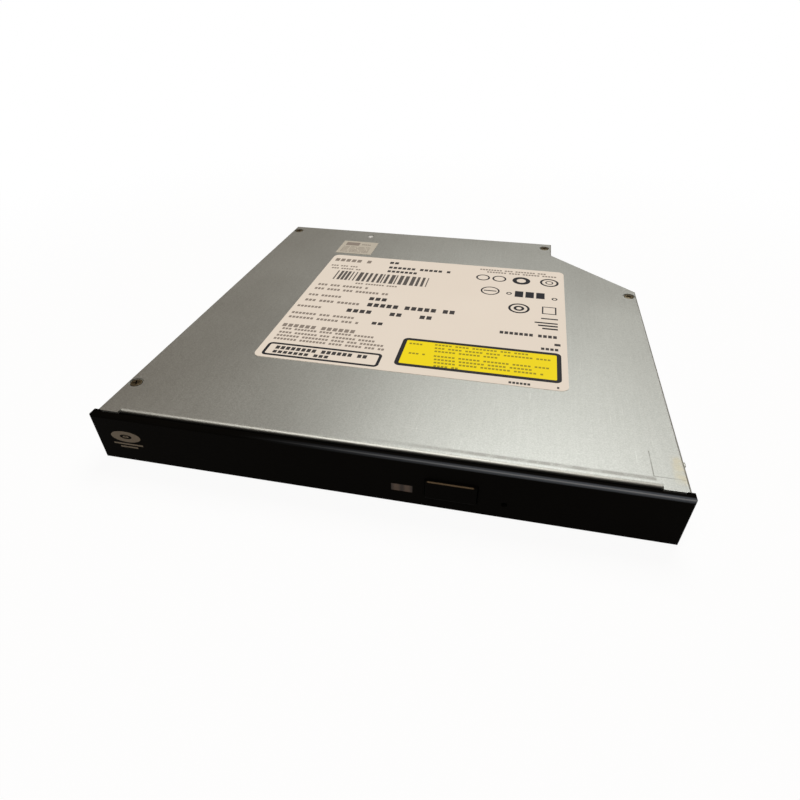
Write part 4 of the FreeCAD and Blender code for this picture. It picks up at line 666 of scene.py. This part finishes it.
def frame_field(name, left, front, right, rear, width, radius, low, thick, material, body):
    """A printed border with round corners."""
    piece = settle(flat_field(left, front, right, rear, low))
    open_up(piece)
    bpy.ops.mesh.bevel(offset=radius * MM, segments=6, affect="VERTICES")
    leave()
    return finished(thickened(name, hollowed(piece, width), thick), material, body)


def row_of_blocks(left, right, low, high, pitch):
    """A row of plain blocks in groups, as print looks from a step away."""
    blocks, x = [], left
    while x + pitch <= right + 0.01:
        for _ in range(picked.randint(3, 8)):
            if x + pitch > right + 0.01:
                break
            blocks.append((x, low, x + pitch * 0.74, high))
            x += pitch
        x += pitch * 0.8
    return blocks


def make_labels():
    """The labels' fields of colour, with plain blocks where print stands."""
    fine = row_of_blocks(-37.5, -22.0, 33.0, 35.4, 2.0)
    fine += row_of_blocks(-37.5, -14.6, -16.1, -14.3, 1.7)
    for left, right, low, high, word in (
            (-37.4, -27.4, 28.6, 29.6, 0.9), (-36.6, -25.3, 26.4, 27.4, 0.9),
            (-25.0, -10.0, 15.6, 16.6, 0.9), (-36.7, -19.4, 12.4, 13.8, 1.1),
            (-36.8, -12.3, 9.3, 10.7, 1.1), (-37.1, -25.5, 4.6, 5.9, 1.1),
            (-36.9, -18.9, 0.8, 2.2, 1.2), (-37.8, -29.1, -3.4, -2.2, 1.1),
            (-37.8, -18.1, -8.0, -6.8, 1.1), (-37.7, -15.9, -10.7, -9.5, 1.1),
            (-36.8, -9.0, -17.7, -16.7, 0.95), (-36.9, -7.9, -19.8, -18.8, 0.95),
            (-36.9, -5.6, -21.6, -20.6, 0.95), (-37.0, -5.4, -23.4, -22.4, 0.95),
            (13.8, 36.5, 35.4, 36.4, 0.95), (16.3, 40.2, 33.6, 34.6, 0.95)):
        fine += row_of_blocks(left, right, low, high, word)
    print_field("fine_print", fine, LABEL_TOP, FAINT_THICK, PALE_INK, "case")
    bold = []
    for left, right, low, high, word in (
            (-17.8, -14.0, 34.2, 36.0, 1.8),
            (-17.2, 5.2, 30.2, 31.9, 1.6), (-17.0, -4.0, 27.0, 28.6, 1.5),
            (-17.6, -11.3, 5.0, 7.1, 2.0), (-17.1, 11.3, 0.8, 3.1, 2.0),
            (-22.2, -13.6, -3.9, -1.8, 2.0), (-9.0, -4.6, -3.9, -1.8, 2.0),
            (0.0, 4.6, -3.9, -1.8, 2.0), (-12.8, -9.2, -10.0, -8.4, 1.8),
            (23.5, 40.0, -7.7, -6.2, 1.35),
            (34.9, 39.9, -14.3, -13.1, 1.2), (27.4, 34.3, -31.9, -31.0, 0.9),
            (38.9, 40.2, -31.9, -31.1, 0.7), (-34.5, -8.2, -28.2, -26.6, 1.45),
            (-34.5, -17.5, -30.2, -28.9, 1.45)):
        bold += row_of_blocks(left, right, low, high, word)
    bars, x = [], -33.5
    while x < -2.2:
        width = picked.choice((0.45, 0.9, 1.3))
        bars.append((x, 17.9, min(x + width, -2.0), 25.0))
        x += width + picked.choice((0.4, 0.6, 0.8))
    print_field("label_stripes", bars, LABEL_TOP, PRINT_THICK, STRIPE_INK, "case")
    bold += [(34.7, 3.3, 39.5, 4.0), (38.4, -11.6, 40.0, -10.4)]
    print_field("bold_print", bold, LABEL_TOP, PRINT_THICK, BOLD_INK, "case")
    print_field("yellow_field", [(-1.4, -29.0, 39.6, -15.9)], LABEL_TOP, FIELD_THICK, YELLOW,
                "case")
    frame_field("yellow_border", -1.9, -29.5, 40.1, -15.4, 1.15, 1.5, LABEL_TOP, BORDER_THICK,
                INK, "case")
    frame_field("left_box", -37.2, -31.6, -5.5, -25.1, 0.8, 1.3, LABEL_TOP, BORDER_THICK,
                INK, "case")
    on_yellow = []
    for left, right, row in ((0.1, 4.6, -18.2), (7.0, 32.5, -17.6), (7.2, 37.6, -19.3),
                             (7.4, 25.0, -20.9), (0.9, 6.1, -23.1), (7.6, 37.8, -23.3),
                             (7.9, 33.9, -24.9), (8.1, 36.1, -26.4), (8.3, 15.2, -28.0)):
        on_yellow += row_of_blocks(left, right, row - 0.35, row + 0.4, 0.95)
    print_field("print_on_yellow", on_yellow, LABEL_TOP + FIELD_THICK, 0.008, OLIVE_INK, "case")
    make_plain_marks()
    small = [(-38.3, 48.6, -33.2, 51.6)]
    for row in (47.2, 46.0, 44.8, 43.6, 42.4):
        small += row_of_blocks(-38.6, -28.0, row - 0.25, row + 0.25, 0.6)
    small += row_of_blocks(-32.2, -28.0, 49.6, 50.4, 0.7)
    print_field("small_print", small, LABEL_TOP, FAINT_THICK, PALE_INK, "case")


def ring_mark(name, x, y, outer, inner, low, thick, sides=40):
    """A printed ring."""
    clear()
    bpy.ops.mesh.primitive_circle_add(
        vertices=sides, radius=outer * MM, fill_type="NGON", location=(x * MM, y * MM, low * MM))
    return thickened(name, hollowed(settle(bpy.context.object), outer - inner), thick)


def make_plain_marks():
    """Generic rings and squares on the label's right side."""
    marks = [ring_mark("ring", *sizes, LABEL_TOP, PRINT_THICK) for sizes in (
        (15.4, 29.2, 2.3, 1.75), (20.8, 29.2, 2.3, 1.75), (28.0, 29.0, 2.9, 1.5),
        (37.0, 29.2, 3.0, 2.3), (37.0, 29.2, 1.3, 0.9), (18.6, 19.4, 3.0, 2.5),
        (28.1, 8.8, 3.2, 2.5), (28.1, 8.8, 1.6, 0.8), (24.6, 18.6, 0.9, 0.5),
        (38.6, 17.2, 0.9, 0.5))]
    finished(joined("plain_rings", marks), INK, "case")
    print_field("plain_squares", [
        (16.6, 19.1, 20.6, 19.7), (26.4, 16.6, 29.0, 20.8), (29.7, 16.6, 32.3, 20.8),
        (33.0, 16.6, 35.6, 20.8), (34.9, 6.6, 39.1, 7.0), (34.9, 11.0, 39.1, 11.4),
        (34.9, 7.0, 35.3, 11.0), (38.7, 7.0, 39.1, 11.0), (32.9, 0.6, 39.4, 1.3),
        (33.9, -1.1, 39.4, -0.3), (35.1, -2.8, 39.4, -2.0)], LABEL_TOP, PRINT_THICK, INK, "case")


def make_face_mark():
    """A plain pictogram of a disc over a tray, on the bezel's left end."""
    rings = [ring_mark("face_ring", 0, 0, outer, inner, 0, 0.02, 48)
             for outer, inner in ((3.7, 1.5), (0.75, 0.35))]
    for ring in rings:
        ring.scale.y = 0.42
        ring.location.y = 0.9 * MM
        settle(ring)
    bars = joined("face_bars", [flat_field(-3.7, -1.5, 3.7, -1.08, 0),
                                flat_field(-2.2, -2.35, 2.2, -1.93, 0)])
    mark = joined("face_mark", rings + [thickened("face_bars", bars, 0.02)])
    mark.rotation_euler.x = math.pi / 2
    mark.location = (-56.35 * MM, -64.1 * MM, 6.6 * MM)
    settle(mark)
    finished(mark, MARK, "drawer")


# Wound and folded pieces.

def wire_ring(name, middle, radius, sides=8):
    """The round section of a wire, upright, at a distance from the Z axis."""
    clear()
    bpy.ops.mesh.primitive_circle_add(vertices=sides, radius=radius * MM,
                                      location=(middle * MM, 0, 0), rotation=(math.pi / 2, 0, 0))
    piece = bpy.context.object
    piece.name = name
    return settle(piece)


def drawn_line(name, points):
    """A line of radius and height points, drawn by pulling one vertex on and on."""
    clear()
    bpy.ops.mesh.primitive_plane_add(size=MM)
    piece = bpy.context.object
    piece.name = name
    spots = [Vector((radius, 0, height)) * MM for radius, height in points]
    bpy.ops.object.mode_set(mode="EDIT")
    bpy.ops.mesh.select_mode(type="VERT")
    bpy.ops.mesh.select_all(action="SELECT")
    bpy.ops.mesh.merge(type="CENTER")
    bpy.ops.transform.translate(value=spots[0])
    for before, after in zip(spots, spots[1:]):
        bpy.ops.mesh.extrude_vertices_move(TRANSFORM_OT_translate={"value": after - before})
    bpy.ops.object.mode_set(mode="OBJECT")
    return piece


def wound(piece, pitch, turns, steps):
    """Winds a profile up the Z axis and closes its ends."""
    modify(piece, "SCREW", screw_offset=pitch * MM, iterations=turns, steps=steps,
           render_steps=steps, use_merge_vertices=True, merge_threshold=1e-7)
    only(piece)
    bpy.ops.object.mode_set(mode="EDIT")
    bpy.ops.mesh.select_all(action="DESELECT")
    bpy.ops.mesh.select_mode(type="EDGE")
    bpy.ops.mesh.select_non_manifold()
    bpy.ops.mesh.fill_holes(sides=0)
    bpy.ops.mesh.select_all(action="SELECT")
    bpy.ops.mesh.normals_make_consistent(inside=False)
    bpy.ops.object.mode_set(mode="OBJECT")
    bpy.ops.object.shade_smooth_by_angle(angle=math.radians(40))
    return piece


def make_wound_pieces():
    """The eject spring's coil and the lead screw's thread."""
    coil = wound(wire_ring("eject_coil", middle=1.1, radius=0.2), pitch=1.05, turns=5, steps=20)
    coil.rotation_euler.x = -math.pi / 2
    coil.location = Vector((31.0, 37.25, 4.6)) * MM
    settle(coil)
    coil.data.materials.append(BRIGHT)
    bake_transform(coil)
    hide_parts("eject_spring")

    thread = [(0.62, 0.0), (0.9, 0.22), (0.9, 0.42), (0.62, 0.64), (0.62, 1.0)]
    screw = wound(drawn_line("thread", thread), pitch=1.0, turns=46, steps=16)
    tips = [soften(drum("tip", (0, 0), 0.5, low, high, 24), 0.1)
            for low, high in ((-0.45, 0.3), (45.8, 47.0))]
    screw = joined("threaded_screw", [screw] + tips)
    screw.matrix_world = (
        Matrix.Rotation(SLED, 4, "Z")
        @ Matrix.Translation(Vector((9.1, -22.0, 4.2)) * MM)
        @ Matrix.Rotation(math.pi / 2, 4, "Y"))
    settle(screw)
    finished(screw, BRIGHT, "lead_screw", "lead_screw")


def make_ribbon():
    """The flat cable: rear run, bend and front run."""
    middle_x, width, thick = -21, 18, 0.15
    rear_run, front_run = 65.6, 59.6
    bend_y, bend_z = -18, 1.3
    clear()
    bpy.ops.mesh.primitive_plane_add(size=1, location=(middle_x * MM, 14.8 * MM, 0.675 * MM))
    ribbon = bpy.context.object
    ribbon.scale = (width * MM, rear_run * MM, 1)
    settle(ribbon)
    only(ribbon)
    bpy.ops.object.mode_set(mode="EDIT")
    bpy.ops.mesh.select_mode(type="EDGE")
    bpy.ops.mesh.select_all(action="DESELECT")
    bpy.ops.object.mode_set(mode="OBJECT")
    places = [vertex.co.y for vertex in ribbon.data.vertices]
    for edge in ribbon.data.edges:
        edge.select = all(places[i] < -0.017 for i in edge.vertices)
    bpy.ops.object.mode_set(mode="EDIT")
    bpy.ops.mesh.spin(steps=24, angle=-math.pi, axis=(1, 0, 0),
                      center=(middle_x * MM, bend_y * MM, bend_z * MM))
    bpy.ops.mesh.extrude_region_move(TRANSFORM_OT_translate={"value": (0, front_run * MM, 0)})
    bpy.ops.mesh.select_all(action="SELECT")
    bpy.ops.mesh.remove_doubles(threshold=1e-6)
    bpy.ops.mesh.normals_make_consistent(inside=False)
    bpy.ops.object.mode_set(mode="OBJECT")
    modify(ribbon, "SOLIDIFY", thickness=thick * MM, offset=0)
    ribbon.name = "ribbon"
    bpy.ops.object.shade_smooth_by_angle(angle=math.radians(40))
    ribbon.data.materials.append(RIBBON)
    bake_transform(ribbon)
    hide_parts("flat_cable")


def make_lid_details():
    """A polished contact dome in the lid's dimple, near white as a painted highlight, and the
    pressed nib on its right edge.
    """
    clear()
    centre = Vector((-31.4, 59.6, 12.1)) * MM
    bpy.ops.mesh.primitive_uv_sphere_add(segments=32, ring_count=16, radius=1.1 * MM,
                                         location=centre)
    dome = bpy.context.object
    dome.name = "contact_dome"
    dome.scale.z = 0.22
    settle(dome)
    open_up(dome)
    bpy.ops.mesh.bisect(plane_co=centre - Vector((0, 0, 0.00012)), plane_no=(0, 0, 1),
                        use_fill=True, clear_inner=True)
    leave()
    bpy.ops.object.shade_smooth_by_angle(angle=math.radians(40))
    finished(dome, PAINTED_HIGHLIGHT_DOME, "case")
    nib = block("edge_nib", (63.5, -53.7, 11.3), (63.98, -52.4, 12.15))
    finished(soften(nib, 0.22, 3), COVER, "case")


def make_contacts():
    """Gilded contacts on the connector's two tongues."""
    strip = soften(block("contact", (-0.3, 58.6, 4.66), (0.3, 63.7, 4.74)), 0.03)
    pitch = 1.27
    rows = ((-43.7, 7), (-31.4, 12))
    places = [(start + i * pitch, 0, 0) for start, count in rows for i in range(count)]
    finished(copies("connector_contacts", strip, places), GOLD, "case")


def seen_directly(graph, mirrored):
    """1 to the eye and through clear parts, and a share of that in polished metal."""
    rays = [graph.node("ShaderNodeLightPath", {}, out=f"Is {kind} Ray")
            for kind in ("Camera", "Transmission", "Glossy")]
    return rays[0] + rays[1] + rays[2] * mirrored


def make_stage():
    """A pale floor, white to the camera, that keeps the drive's soft shadow."""
    clear()
    bpy.ops.mesh.primitive_plane_add(size=40, location=(0, 0, -0.00005))
    floor = bpy.context.object
    floor.name = "floor"
    s = Surface("floor_white", Base_Color=(0.95, 0.95, 0.95, 1.0), Roughness=0.9,
                Specular_IOR_Level=0.0)
    glow = s.node("ShaderNodeEmission", {}, Color=(1, 1, 1, 1), Strength=1.0)
    away = s.node("ShaderNodeVectorMath", {"operation": "LENGTH"}, s.place, out="Value")
    share = (0.91 + away.step(100, 300) * 0.09) * seen_directly(s, 0.5)
    lit = Value(s, s.shader.outputs[0])
    blend = s.node("ShaderNodeMixShader", {}, share, lit, glow)
    s.tree.links.new(blend.socket, s.tree.nodes["Material Output"].inputs[0])
    floor.data.materials.append(s.material)


def light_the_scene():
    """A white surround for the eye, a dim warm one for the light, and two soft lamps."""
    world = bpy.data.worlds.new("surround")
    bpy.context.scene.world = world
    world.use_nodes = True
    sky = Graph(world.node_tree)
    warm = sky.node("ShaderNodeBackground", {}, Color=(1, 0.6, 0.28, 1), Strength=0.1)
    white = sky.node("ShaderNodeBackground", {}, Color=(1, 1, 1, 1), Strength=1.0)
    seen = sky.node("ShaderNodeMixShader", {}, seen_directly(sky, 0.02), warm, white)
    sky.tree.links.new(seen.socket, sky.tree.nodes["World Output"].inputs[0])
    softbox((0.11, 0.42, 0.76), (0.02, -0.03, 0), 0.5, 0.42, 3.6, (0.99, 1.0, 1.0))
    softbox((-0.1, -0.5, 0.9), (0, 0, 0), 0.6, 0.6, 5.75, (1.0, 0.98, 0.95))


place_camera()
make_stage()
light_the_scene()
dress_nodes()
make_fasteners()
make_labels()
make_face_mark()
make_wound_pieces()
make_ribbon()
make_contacts()
make_lid_details()

bpy.context.scene.view_settings.view_transform = "Standard"
